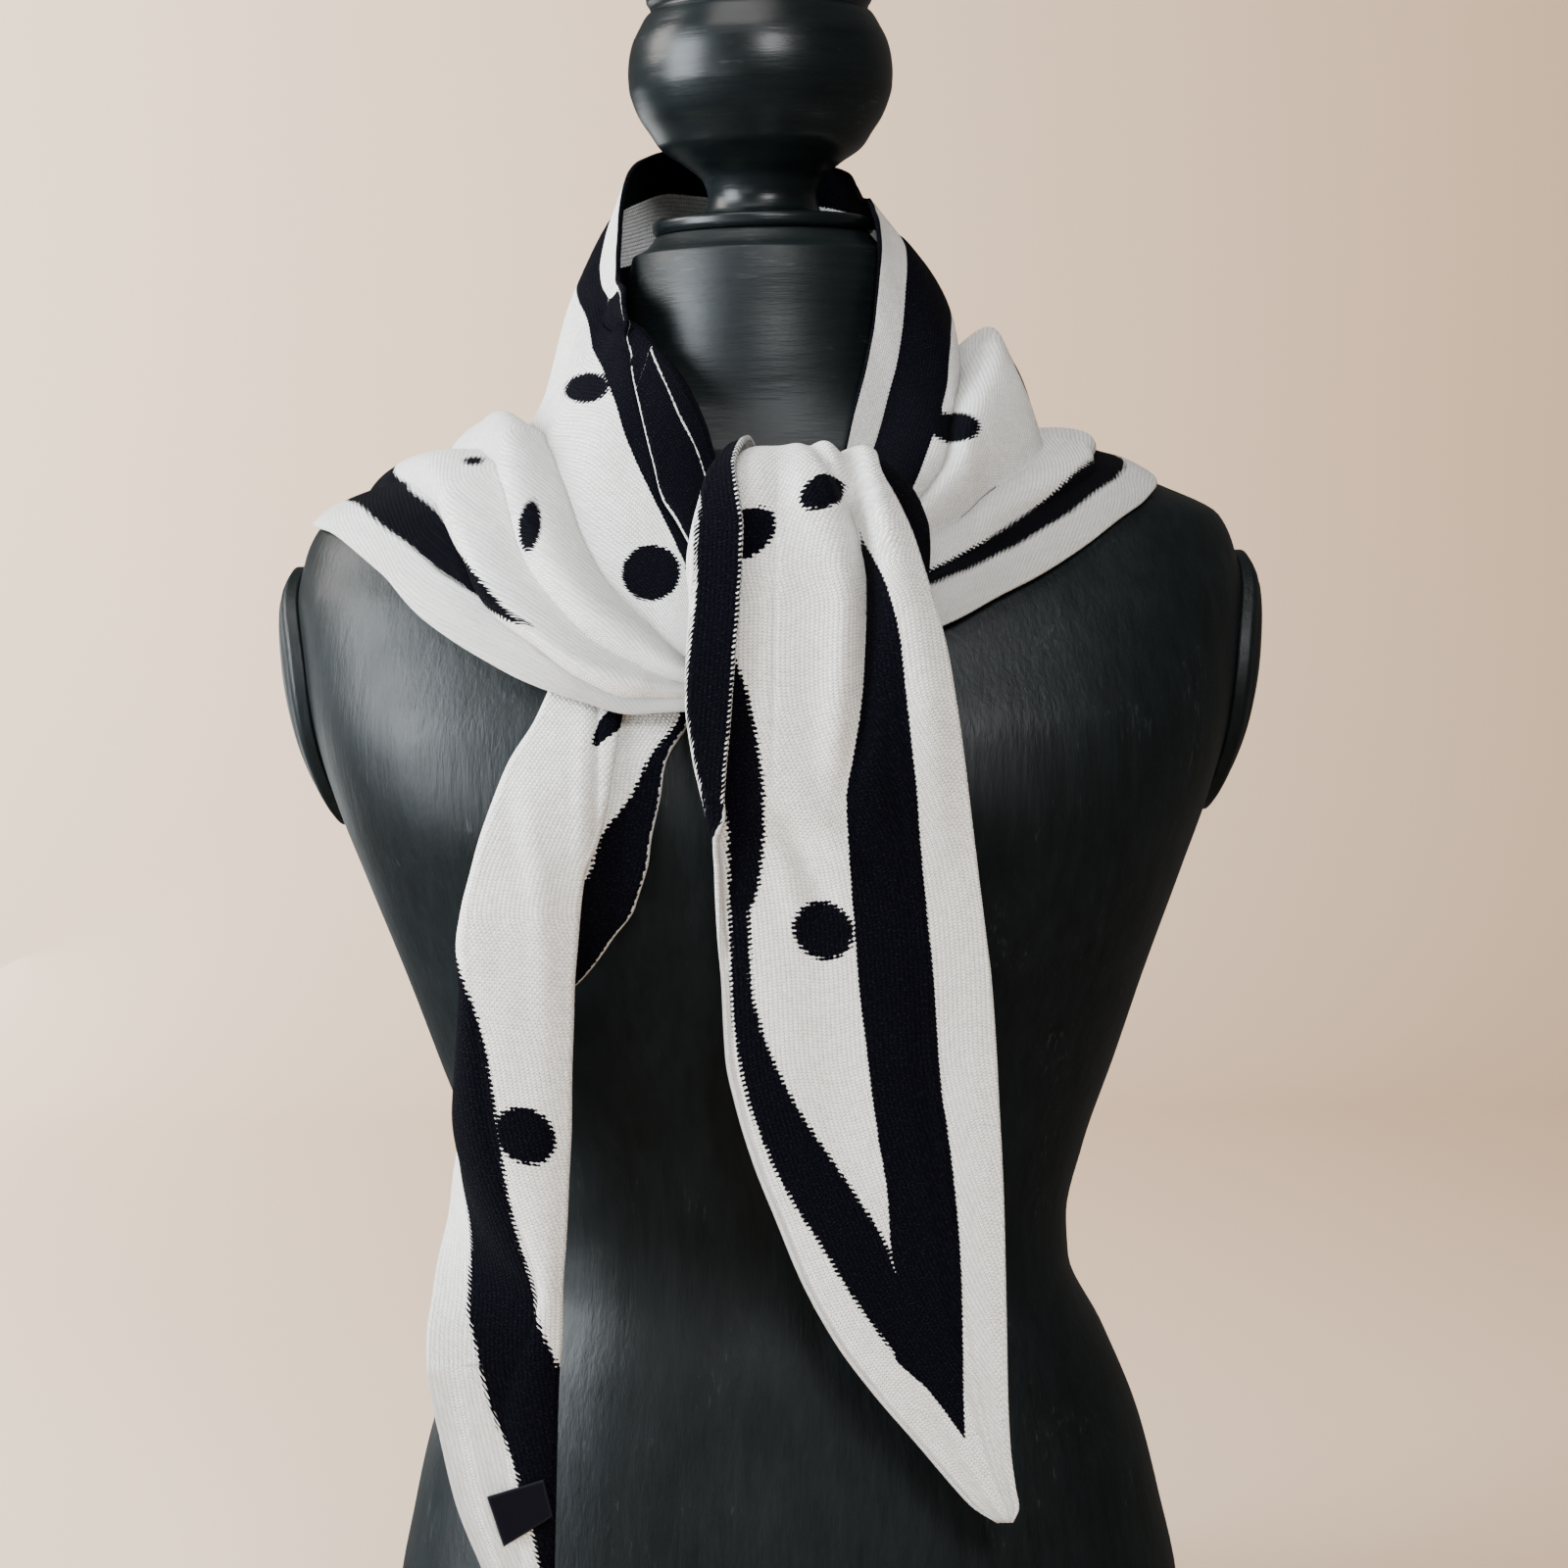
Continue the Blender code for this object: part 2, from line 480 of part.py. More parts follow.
def shawl_section(bearing, counts):
    """One section of the scarf at a bearing, from the free neck edge to the lower edge."""
    profile, rise = drape_profile(bearing)
    run = running(profile)
    flow = directions(profile)
    creases = [float(column(DRAPE_ROWS, DRAPE_COLUMNS, name, bearing))
               for name in ("crease_1", "crease_2", "crease_3", "edge")]
    marks = [0.0]
    for height in creases:
        marks.append(max(float(np.interp(-height, -profile[:, 1], run)), marks[-1] + .004))
    roll = {name: float(column(ROLL_ROWS, ROLL_COLUMNS, name, bearing))
            for name in ROLL_COLUMNS[1:]}
    stretches = []
    for k in range(4):
        width = marks[k + 1] - marks[k]
        t = np.linspace(0, 1, counts[k + 1] + 1)
        if k < 3:
            t = t[:-1]
        place = marks[k] + t * width
        base = along(profile, place)
        way = np.stack([np.interp(place, run, flow[:, i]) for i in range(2)], axis=1)
        ends = along(profile, np.array((marks[k], marks[k + 1])))
        chord = ends[1] - ends[0]
        steady = roll.get(f"steady_{k + 1}", 0.0)
        way = way * (1 - steady) + chord / np.linalg.norm(chord) * steady
        way = way / np.linalg.norm(way, axis=1)[:, None]
        out = np.stack((-way[:, 1], way[:, 0]), axis=1)
        height = min(roll[f"height_{k + 1}"], 0.75 * width)
        bump = roll_shape(t, roll.get(f"crest_{k + 1}", 0.5),
                          roll.get(f"full_{k + 1}", ROLL_FULLNESS))
        lean = roll.get(f"lean_{k + 1}", 0.0)
        stretches.append(base + out * (height * bump)[:, None] + way * (lean * bump)[:, None])
    face = np.vstack(stretches)
    length, degrees = (float(column(COLLAR_ROWS, COLLAR_COLUMNS, name, bearing))
                       for name in ("strip", "turn"))
    angle = np.radians(bearing)
    radial = np.array((-np.sin(angle), -np.cos(angle), 0.0))
    forward = np.array((np.cos(angle), -np.sin(angle), 0.0))
    upright = np.array((0.0, 0.0, 1.0))
    settled = float(ease((degrees - 100) / 75))
    swing = angle * (1 - settled) if bearing < 180 else 0.0
    outward = radial * rise[0] + upright * rise[1]
    across = ((radial * np.cos(swing) + forward * np.sin(swing)) * rise[1]
              - upright * rise[0])
    fold = radial * profile[0, 0] + upright * profile[0, 1]
    strip, beyond = turned_strip(fold, outward, across, length, degrees, TURN_RADIUS, counts[0])
    face_run = running(face)
    face_flow = directions(face)
    under = along(face, beyond)
    way = np.stack([np.interp(beyond, face_run, face_flow[:, i]) for i in range(2)], axis=1)
    laid_r = under[:, 0] - way[:, 1] * 2 * TURN_RADIUS
    laid_z = under[:, 1] + way[:, 0] * 2 * TURN_RADIUS
    laid = radial * laid_r[:, None] + upright * laid_z[:, None]
    laid = np.where((beyond > 0)[:, None], laid, strip)
    strip = strip * (1 - settled) + laid * settled
    return np.vstack((strip, radial * face[:, :1] + upright * face[:, 1:]))


def shawl_points():
    """Sections of the scarf round the shoulders, on a grid of bearing and width."""
    return np.array([shawl_section(b, SHAWL_COUNTS) for b in SHAWL_BEARINGS])


# ================================================================ tails
def front_tail_points():
    """Sections across the front tail, followed along its centre line."""
    table = np.array(FRONT_TAIL_ROWS)
    run = running(table[:, :2])
    stations = np.linspace(0, run[-1], FRONT_TAIL_STATIONS)
    row = {name: monotone(stations, run, table[:, i])
           for i, name in enumerate(FRONT_TAIL_COLUMNS)}
    line = np.stack((row["y"], row["z"]), axis=1)
    way = directions(line)
    out = np.stack((0 * stations, way[:, 1], -way[:, 0]), axis=1)
    flap_cells, panel_cells = FRONT_TAIL_COUNTS
    grid = []
    for k in range(len(stations)):
        left, right = row["left"][k], row["right"][k]
        t = np.linspace(0, 1, panel_cells + 1)
        x = left + t * (right - left)
        swell = row["bulge"][k] * (1 - (2 * t - 1) ** 2)
        furrow = row["gap"][k] * np.exp(-((x - row["gap_at"][k]) / GAP_HALF_WIDTH) ** 2)
        crest = right - ROLL_INSET
        roll = row["roll"][k] * np.exp(-((x - crest) / ROLL_HALF_WIDTH) ** 2)
        centre = np.array((0.0, line[k, 0], line[k, 1]))
        panel = centre + out[k] * (swell - furrow + roll)[:, None]
        panel[:, 0] = x
        sideways = np.array((-1.0, 0.0, 0.0))
        strip, beyond = turned_strip(panel[0], sideways, out[k], row["flap"][k],
                                     row["turn"][k], FLAP_RADIUS, flap_cells)
        settled = float(ease((row["turn"][k] - 150) / 28))
        laid = along(panel, beyond) + out[k] * 2 * FLAP_RADIUS
        laid = np.where((beyond > 0)[:, None], laid, strip)
        strip = strip * (1 - settled) + laid * settled
        grid.append(np.vstack((strip, panel)))
    return np.array(grid)


def left_tail_points():
    """Sections across the left tail, with its left part and right edge folded behind."""
    table = np.array(LEFT_TAIL_ROWS)
    run = running(table[:, :2])
    stations = np.linspace(0, run[-1], LEFT_TAIL_STATIONS)
    row = {name: monotone(stations, run, table[:, i])
           for i, name in enumerate(LEFT_TAIL_COLUMNS)}
    flap_cells, panel_cells, back_cells = LEFT_TAIL_COUNTS
    backward = np.array((0.0, 1.0, 0.0))
    grid = []
    for k in range(len(stations)):
        left, right = row["left"][k], row["right"][k]
        t = np.linspace(0, 1, panel_cells + 1)
        swell = row["bulge"][k] * (1 - (2 * t - 1) ** 2)
        panel = np.stack((left + t * (right - left), row["y"][k] - swell,
                          np.full_like(t, row["z"][k])), axis=1)
        sideways = np.array((-1.0, 0.0, 0.0))
        strip, _ = turned_strip(panel[0], sideways, backward, row["flap"][k],
                                row["turn"][k], row["bend"][k], flap_cells)
        back, _ = turned_strip(panel[-1], -sideways, backward, row["back_flap"][k],
                               BACK_FLAP_TURN, BACK_FLAP_BEND, back_cells)
        grid.append(np.vstack((strip, panel, back[::-1])))
    return np.array(grid)


def loop_points():
    """The black strip beside the tie: its right side curls back by a cube law."""
    heights = np.linspace(LOOP_ROWS[0][0], LOOP_ROWS[-1][0], LOOP_STATIONS)
    table = LOOP_ROWS[::-1]
    right, depth, curl = (column(table, LOOP_COLUMNS, name, heights)
                          for name in ("right", "y", "curl"))
    t = np.linspace(0, 1, LOOP_CELLS + 1)[None, :]
    x = LOOP_LEFT + t * (right[:, None] - LOOP_LEFT)
    y = depth[:, None] + curl[:, None] * t ** 3
    return np.stack(np.broadcast_arrays(x, y, heights[:, None]), axis=-1)


def label_points(tail):
    """Four-cornered patch laid on the left tail's panel, moved out from it."""
    u = np.linspace(0, 1, LABEL_CELLS[0] + 1)[:, None, None]
    v = np.linspace(0, 1, LABEL_CELLS[1] + 1)[None, :, None]
    a, b, c, d = (np.array(corner) for corner in LABEL_CORNERS)
    flat = (1 - v) * ((1 - u) * a + u * b) + v * ((1 - u) * d + u * c)
    spots = tail.reshape(-1, 3)
    gap = SEAM + (CLOTH_WALL + LABEL_WALL) / 2
    near = spots[(spots[:, 2] > .13) & (spots[:, 2] < .17)]
    y = np.full(flat.shape[:2], near[:, 1].min() - gap)
    return np.stack((flat[..., 0], y, flat[..., 1]), axis=-1)


# ================================================================ Blender objects
def clear_scene():
    for thing in list(bpy.data.objects):
        bpy.data.objects.remove(thing, do_unlink=True)


def material(name, colour, roughness):
    made = bpy.data.materials.new(name)
    made.use_nodes = True
    shader = made.node_tree.nodes["Principled BSDF"]
    shader.inputs["Base Color"].default_value = (*colour, 1.0)
    shader.inputs["Roughness"].default_value = roughness
    shader.inputs["Metallic"].default_value = 0.0
    return made


def add_object(name, mesh, collection, paint):
    mesh.materials.append(paint)
    thing = bpy.data.objects.new(name, mesh)
    collection.objects.link(thing)
    mesh.shade_smooth()
    return thing


def grid_mesh(name, points, closed_round=False):
    """Mesh of a grid of points; closed_round joins the last column to the first."""
    rows, cols = points.shape[:2]
    index = np.arange(rows * cols).reshape(rows, cols)
    if closed_round:
        index = np.concatenate((index, index[:, :1]), axis=1)
    quads = np.stack((index[:-1, :-1], index[:-1, 1:], index[1:, 1:], index[1:, :-1]), axis=-1)
    mesh = bpy.data.meshes.new(name)
    mesh.from_pydata(points.reshape(-1, 3).tolist(), [], quads.reshape(-1, 4).tolist())
    mesh.update()
    return mesh


def cloth(name, points, wall, collection, paint):
    """An open sheet with a Solidify wall centred on it."""
    thing = add_object(name, grid_mesh(name, points), collection, paint)
    shell = thing.modifiers.new("wall", "SOLIDIFY")
    shell.thickness = wall
    shell.offset = 0.0
    return thing


def capped_loft(name, points, collection, paint):
    """A stack of closed sections with a flat cap on each end."""
    mesh = grid_mesh(name, points, closed_round=True)
    work = bmesh.new()
    work.from_mesh(mesh)
    loops = [e for e in work.edges if e.is_boundary]
    bmesh.ops.holes_fill(work, edges=loops, sides=0)
    bmesh.ops.recalc_face_normals(work, faces=work.faces)
    bmesh.ops.triangulate(work, faces=[f for f in work.faces if len(f.verts) > 4])
    work.to_mesh(mesh)
    work.free()
    return add_object(name, mesh, collection, paint)


def turned(name, outline, steps, collection, paint):
    """A solid of revolution: the outline on +X runs from the top pole to the bottom pole."""
    mesh = bpy.data.meshes.new(name)
    points = [(r, 0.0, z) for r, z in outline]
    mesh.from_pydata(points, [(i, i + 1) for i in range(len(points) - 1)], [])
    thing = add_object(name, mesh, collection, paint)
    spin = thing.modifiers.new("turn", "SCREW")
    spin.steps = steps
    spin.render_steps = steps
    spin.use_merge_vertices = True
    spin.merge_threshold = 0.0001
    spin.use_smooth_shade = True
    return thing


def armhole_plate(name, side, collection, paint):
    """Two polar skins with a pole each, joined round the rim."""
    (inner, outer), poles = plate_points(side)
    rings, spokes = inner.shape[:2]
    count = rings * spokes
    points = np.vstack((inner.reshape(-1, 3), outer.reshape(-1, 3), poles))
    faces = []
    for skin in range(2):
        pole = 2 * count + skin
        for s in range(spokes):
            nxt = (s + 1) % spokes
            faces.append((pole, skin * count + s, skin * count + nxt))
            for r in range(rings - 1):
                low = skin * count + r * spokes
                faces.append((low + s, low + spokes + s, low + spokes + nxt, low + nxt))
    rim = (rings - 1) * spokes
    for s in range(spokes):
        nxt = (s + 1) % spokes
        faces.append((rim + s, rim + nxt, count + rim + nxt, count + rim + s))
    mesh = bpy.data.meshes.new(name)
    mesh.from_pydata(points.tolist(), [], faces)
    work = bmesh.new()
    work.from_mesh(mesh)
    bmesh.ops.recalc_face_normals(work, faces=work.faces)
    work.to_mesh(mesh)
    work.free()
    return add_object(name, mesh, collection, paint)


def main():
    clear_scene()
    parts = bpy.data.collections.new("knitted_scarf_on_form")
    bpy.context.scene.collection.children.link(parts)
    paint = material("form_paint", FORM_PAINT, 0.38)
    finial_paint = material("finial_paint", FORM_PAINT, 0.30)
    plate_paint = material("plate_paint", FORM_PAINT, 0.38)
    knit = material("knit_cream", CREAM_YARN, 0.90)
    front_knit = material("knit_cream_front_tail", CREAM_YARN, 0.90)
    left_knit = material("knit_cream_left_tail", CREAM_YARN, 0.90)
    black_knit = material("knit_black", BLACK_YARN, 0.90)
    label_weave = material("label_weave", BLACK_YARN, 0.60)

    capped_loft("form_torso", torso_points(), parts, paint)
    turned("form_finial", FINIAL_OUTLINE, FINIAL_STEPS, parts, finial_paint)
    armhole_plate("form_arm_plate_left", -1, parts, plate_paint)
    armhole_plate("form_arm_plate_right", 1, parts, plate_paint)
    cloth("scarf_shawl", shawl_points(), CLOTH_WALL, parts, knit)
    cloth("scarf_front_tail", front_tail_points(), CLOTH_WALL, parts, front_knit)
    left_tail = left_tail_points()
    cloth("scarf_left_tail", left_tail, CLOTH_WALL, parts, left_knit)
    cloth("scarf_knot_loop", loop_points(), CLOTH_WALL, parts, black_knit)
    cloth("care_label", label_points(left_tail), LABEL_WALL, parts, label_weave)


main()
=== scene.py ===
"""Looks of a triangular knitted scarf tied on a limbless dress form.

Metres, +Z up, chest towards -Y.  A bearing is an angle round the form's axis in degrees:
0 at the chest, 90 at the left of the picture, 180 at the back and 270 at the right.
Every sheet is a grid of sections worked out from short tables.  The first row of a table
names its columns, and the others are read smoothly by the first column.  Each point of a
knitted sheet carries the numbers of KNIT_NUMBERS, which the knit materials read: knit_u and
knit_v, its place on the flat cloth; ink, how deep it lies inside a stripe or a dot; saw, how
jagged the pattern's edge is there; both, above nought where both sides are black; line, its
distance from a light free edge; and piping, its distance from a light line on the cloth.
"""

import bpy
import numpy as np
from mathutils import Matrix


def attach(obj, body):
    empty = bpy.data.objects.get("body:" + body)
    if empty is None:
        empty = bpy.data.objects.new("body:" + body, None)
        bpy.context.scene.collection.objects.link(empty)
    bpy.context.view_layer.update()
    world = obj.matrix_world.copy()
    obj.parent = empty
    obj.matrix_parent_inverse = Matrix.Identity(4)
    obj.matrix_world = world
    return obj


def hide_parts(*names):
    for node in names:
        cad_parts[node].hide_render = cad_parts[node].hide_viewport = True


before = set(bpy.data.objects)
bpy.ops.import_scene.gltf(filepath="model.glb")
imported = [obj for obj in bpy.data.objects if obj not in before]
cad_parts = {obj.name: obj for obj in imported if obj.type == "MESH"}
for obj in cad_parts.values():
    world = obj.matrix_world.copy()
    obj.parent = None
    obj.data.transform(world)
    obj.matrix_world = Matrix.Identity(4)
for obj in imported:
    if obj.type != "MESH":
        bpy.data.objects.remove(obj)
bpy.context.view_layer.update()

# ------ sizes
CLOTH_WALL = 0.0020
LABEL_WALL = 0.0006
SEAM = 0.0003                 # air left between a piece and what carries it
NECK_TOP = 0.6535
DOT_RADIUS = 0.0115

# ------ camera
CAMERA_PLACE = (0.0044, -1.3200, 0.5310)
CAMERA_PITCH = -4.60          # degrees, below level
CAMERA_ROLL = -1.05           # degrees
CAMERA_LENS = 72.0
CAMERA_SENSOR = 36.0

# ------ dress form
TORSO_ROWS = (
    ("z", "half_width", "front", "back", "squareness"),
    (0.0000, .1660, .1050, .1120, 2.5),
    (0.0400, .1690, .1070, .1160, 2.5),
    (0.0850, .1660, .1040, .1150, 2.5),
    (0.1200, .1590, .1000, .1100, 2.5),
    (0.1550, .1505, .0950, .1020, 2.5),
    (0.1900, .1367, .0900, .0930, 2.4),
    (0.2230, .1217, .0840, .0850, 2.3),
    (0.2400, .1210, .0830, .0830, 2.3),
    (0.2700, .1280, .0860, .0840, 2.3),
    (0.3100, .1420, .0950, .0870, 2.4),
    (0.3500, .1555, .1080, .0910, 2.5),
    (0.3900, .1700, .1200, .0950, 2.6),
    (0.4200, .1810, .1260, .0980, 2.6),
    (0.4500, .1900, .1220, .1010, 2.6),
    (0.4800, .1950, .1100, .1030, 2.5),
    (0.5050, .1970, .0980, .1010, 2.4),
    (0.5220, .1940, .0880, .0960, 2.3),
    (0.5350, .1880, .0800, .0900, 2.3),
    (0.5480, .1630, .0740, .0830, 2.2),
    (0.5600, .1320, .0680, .0750, 2.1),
    (0.5720, .1000, .0640, .0690, 2.0),
    (0.5850, .0700, .0610, .0650, 2.0),
    (0.6000, .0605, .0600, .0600, 2.0),
    (0.6200, .0575, .0575, .0575, 2.0),
    (0.6450, .0547, .0547, .0547, 2.0),
    (0.6480, .0494, .0494, .0494, 2.0),
    (0.6535, .0445, .0445, .0445, 2.0),
)
TORSO_GRID = (200, 180)       # sections and points round each
TORSO_BREAKS = (.50, .642)    # heights where the spacing of the sections changes
NECK_SEAM_Z = 0.5600
NECK_GROOVE = 0.0006
NECK_GROOVE_HALF_WIDTH = 0.0012
BASE_ROUNDING = 0.0030
BASE_ROUNDING_HEIGHT = 0.0020
# Finial, turned: radius and height of its outline from the cap to the foot plate.
FINIAL_OUTLINE = (
    (.0000, .7760), (.0160, .7755), (.0300, .7730), (.0400, .7690), (.0462, .7625),
    (.0470, .7560), (.0468, .7500), (.0452, .7470), (.0450, .7452), (.0466, .7440),
    (.0501, .7384), (.0530, .7324), (.0544, .7264), (.0549, .7204), (.0546, .7144),
    (.0530, .7084), (.0504, .7024), (.0463, .6963), (.0420, .6900), (.0327, .6835),
    (.0245, .6760), (.0227, .6690), (.0245, .6630), (.0290, .6606), (.0440, .6601),
    (.0461, .6585), (.0461, .6558), (.0452, .6545), (.0438, NECK_TOP + SEAM),
    (.0000, NECK_TOP + SEAM),
)
FINIAL_GRID = (220, 128)
# Plates over the armholes, oval as seen from the side.
PLATE_CENTRE_Y = 0.012
PLATE_CENTRE_Z = 0.465
PLATE_HALF_DEPTH = 0.045
PLATE_HALF_HEIGHT = 0.055
PLATE_EDGE = 0.0035
PLATE_RISE = 0.0070
PLATE_DOME_SHARE = 0.96       # of a full dome, so that it ends in a step at the rim
PLATE_RIM = (.2, .5, .8, 1.0)  # how far each ring of the rolled rim sinks to the form
PLATE_GROOVE = 0.0007
PLATE_GROOVE_AT = .86         # its radius over that of the plate
PLATE_GROOVE_HALF_WIDTH = .018
PLATE_HUB = .02               # radius of the innermost ring over that of the plate
PLATE_GRID = (26, 72)

# ------ scarf round the shoulders
# Collar: the line where the neck edge may turn over outwards, the slope of the strip above
# it, that strip's length in the section and how far it is turned, in degrees.
COLLAR_ROWS = (
    ("bearing", "radius", "z", "lean", "strip", "turn"),
    (10, .0925, .5420, -15, .0450, 180),
    (13, .0880, .5540, -15, .0510, 180),
    (17, .0822, .5700, -16, .0570, 180),
    (22, .0786, .5828, -17, .0570, 180),
    (27, .0760, .5918, -17, .0470, 180),
    (32, .0742, .5980, -17, .0360, 178),
    (37, .0726, .6032, -16, .0265, 172),
    (43, .0714, .6095, -15, .0165, 155),
    (47, .0714, .6115, -15, .0130, 130),
    (51, .0716, .6125, -15, .0130, 95),
    (54, .0718, .6130, -16, .0150, 60),
    (57, .0720, .6130, -17, .0175, 30),
    (62, .0725, .6150, -19, .0185, 8),
    (70, .0705, .6260, -23, .0185, 0),
    (80, .0685, .6370, -27, .0185, 0),
    (90, .0660, .6500, -24, .0181, 0),
    (105, .0635, .6660, -20, .0180, 0),
    (120, .0610, .6720, -10, .0180, 0),
    (140, .0615, .6770, -9.5, .0180, 0),
    (180, .0610, .6740, -9.5, .0180, 0),
    (205, .0615, .6710, -9.5, .0180, 0),
    (220, .0600, .6670, -16, .0180, 0),
    (235, .0570, .6600, -29, .0183, 0),
    (250, .0560, .6550, -38, .0188, 0),
    (270, .0560, .6525, -38, .0196, 0),
    (285, .0600, .6450, -36, .0231, 0),
    (298, .0650, .6320, -27, .0270, 0),
    (309, .0705, .6090, -19, .0320, 0),
    (314, .0730, .5970, -19, .0310, 0),
    (319, .0752, .5860, -20, .0272, 0),
    (326, .0795, .5690, -19, .0275, 0),
    (333, .0845, .5520, -18, .0274, 0),
    (338, .0893, .5360, -17, .0272, 0),
    (344, .0955, .5200, -15, .0260, 0),
)
# Drape: heights of the creases between the rolls and of the lower edge, the height where
# the cloth meets the shoulder, and how far it stays off the form.
DRAPE_ROWS = (
    ("bearing", "crease_1", "crease_2", "crease_3", "edge", "rest", "lift"),
    (10, .4760, .4720, .4690, .4640, .5020, .0155),
    (15, .4827, .4740, .4690, .4640, .5080, .0140),
    (22, .4960, .4800, .4690, .4630, .5160, .0130),
    (30, .5110, .4900, .4760, .4680, .5260, .0135),
    (38, .5290, .5050, .4880, .4745, .5380, .0122),
    (47, .5500, .5230, .5010, .4846, .5500, .0090),
    (57, .5640, .5480, .5240, .4985, .5600, .0055),
    (67, .5710, .5600, .5450, .5174, .5680, .0032),
    (80, .5740, .5655, .5535, .5350, .5720, .0026),
    (90, .5745, .5650, .5515, .5375, .5720, .0025),
    (100, .5720, .5580, .5430, .5300, .5710, .0025),
    (106, .5700, .5530, .5370, .5180, .5700, .0034),
    (111, .5685, .5480, .5270, .4880, .5690, .0046),
    (120, .5660, .5400, .5100, .4350, .5660, .0040),
    (130, .5620, .5290, .4890, .3970, .5640, .0028),
    (140, .5580, .5180, .4680, .3600, .5620, .0023),
    (160, .5520, .5000, .4350, .2920, .5600, .0023),
    (172, .5505, .4950, .4240, .2590, .5600, .0023),
    (180, .5500, .4930, .4200, .2480, .5600, .0023),
    (188, .5505, .4950, .4240, .2590, .5600, .0023),
    (200, .5520, .5000, .4350, .2920, .5600, .0023),
    (220, .5600, .5200, .4720, .3850, .5620, .0034),
    (232, .5720, .5400, .5080, .4600, .5660, .0046),
    (242, .5820, .5560, .5380, .5150, .5690, .0044),
    (252, .5910, .5670, .5560, .5430, .5715, .0036),
    (260, .5955, .5700, .5600, .5500, .5730, .0026),
    (270, .6000, .5712, .5622, .5540, .5745, .0026),
    (285, .5920, .5672, .5574, .5447, .5730, .0028),
    (291, .5880, .5620, .5510, .5380, .5705, .0032),
    (303, .5780, .5510, .5400, .5206, .5635, .0042),
    (311, .5660, .5430, .5320, .5110, .5560, .0050),
    (317, .5530, .5350, .5230, .5050, .5460, .0058),
    (326, .5380, .5270, .5150, .4955, .5340, .0068),
    (333, .5250, .5170, .5080, .4900, .5240, .0075),
    (338, .5150, .5090, .5020, .4870, .5160, .0080),
    (344, .5050, .5000, .4940, .4840, .5060, .0090),
)
# Rolls: height of each, place of its crest between its creases, and its lean.
ROLL_ROWS = (
    ("bearing", "height_1", "height_2", "height_3", "height_4",
     "crest_1", "crest_2", "crest_3", "lean_1", "lean_2", "lean_3", "full_2",
     "steady_2"),
    (10, .0020, .0040, .0050, .0010, .60, .50, .50, .000, .000, .000, 1.75, 0.0),
    (22, .0025, .0070, .0080, .0010, .60, .50, .55, .000, .001, .002, 1.75, 0.0),
    (38, .0030, .0090, .0090, .0010, .60, .50, .60, .001, .002, .003, 1.75, 0.0),
    (57, .0035, .0115, .0090, .0015, .50, .50, .60, .001, .001, .003, 1.75, 0.0),
    (75, .0065, .0120, .0080, .0015, .42, .45, .60, .001, -.001, .003, 1.75, 0.0),
    (90, .0080, .0120, .0070, .0015, .38, .42, .60, .000, -.002, .003, 1.75, 0.0),
    (110, .0060, .0150, .0070, .0030, .40, .45, .60, .000, -.001, .001, 1.75, 0.0),
    (140, .0030, .0080, .0070, .0050, .50, .50, .55, .000, .000, .000, 1.75, 0.0),
    (180, .0030, .0060, .0070, .0060, .50, .50, .50, .000, .000, .000, 1.75, 0.0),
    (220, .0040, .0090, .0070, .0050, .50, .45, .50, .000, -.002, .000, 1.60, 0.4),
    (250, .0040, .0205, .0065, .0030, .60, .32, .55, .002, -.004, .000, 1.40, 1.0),
    (270, .0060, .0285, .0060, .0015, .50, .32, .66, .003, -.006, .005, 1.40, 1.0),
    (285, .0080, .0278, .0062, .0015, .50, .32, .68, .004, -.006, .004, 1.40, 1.0),
    (300, .0085, .0200, .0058, .0015, .56, .35, .65, .005, -.005, .001, 1.50, 0.8),
    (312, .0080, .0160, .0040, .0010, .66, .38, .50, .006, -.006, .000, 1.75, 0.3),
    (318, .0095, .0120, .0030, .0010, .66, .40, .50, .006, -.004, .000, 1.75, 0.1),
    (326, .0100, .0070, .0025, .0010, .62, .40, .50, .004, -.002, .000, 1.75, 0.0),
    (336, .0050, .0040, .0020, .0010, .60, .50, .50, .003, .000, .000, 1.75, 0.0),
    (344, .0030, .0030, .0015, .0010, .60, .50, .50, .000, .000, .000, 1.75, 0.0),
)
TURN_RADIUS = 0.0026
BEND_LIMIT = 0.6              # most of a strip's length that its bend takes up
COLLAR_SETTLES = (100, 175)   # degrees of turn between which the strip comes to lie on the cloth
COLLAR_FULLNESS = 0.22        # how far the drape's curve follows the collar's slope
REST_FULLNESS = 0.30          # and the shoulder's slope, as shares of its span
BUMP_POWER = 0.85
ROLL_FULLNESS = 1.75
ROLL_LIMIT = 0.75             # most height of a roll over its width
CREASE_SPACE = 0.004          # least width of a roll
OUTLINE_OVER = .004           # the form's outline is followed from this far over the rest
OUTLINE_UNDER = .012          # to this far under the edge
OUTLINE_POINTS = 300
SLOPE_STEP = .0015
CURVE_POINTS = 90
# Bearings between which the sections lie evenly, and how many there are: close together where
# the picture looks, wider apart behind.
SHAWL_SPANS = ((10, 100, 92), (100, 250, 64), (250, 344, 100))
SHAWL_COUNTS = (16, 34, 40, 34, 34)  # cells across the strip and across each roll
SHAWL_RELIEF = 0.00028
HEM_FADE = 0.02               # distance from the hem and from the turning line over which
TURN_FADE = 0.01              # the relief starts
# Waves of the relief: share, radians a metre across and along the cloth, and start.
RELIEF_WAVES = (
    (0.55, 41.0, 17.0, 0.3), (0.40, -23.0, 52.0, 1.9), (0.35, 88.0, 29.0, 4.1),
    (0.30, 61.0, -94.0, 2.6), (0.22, 150.0, 70.0, 5.2),
)
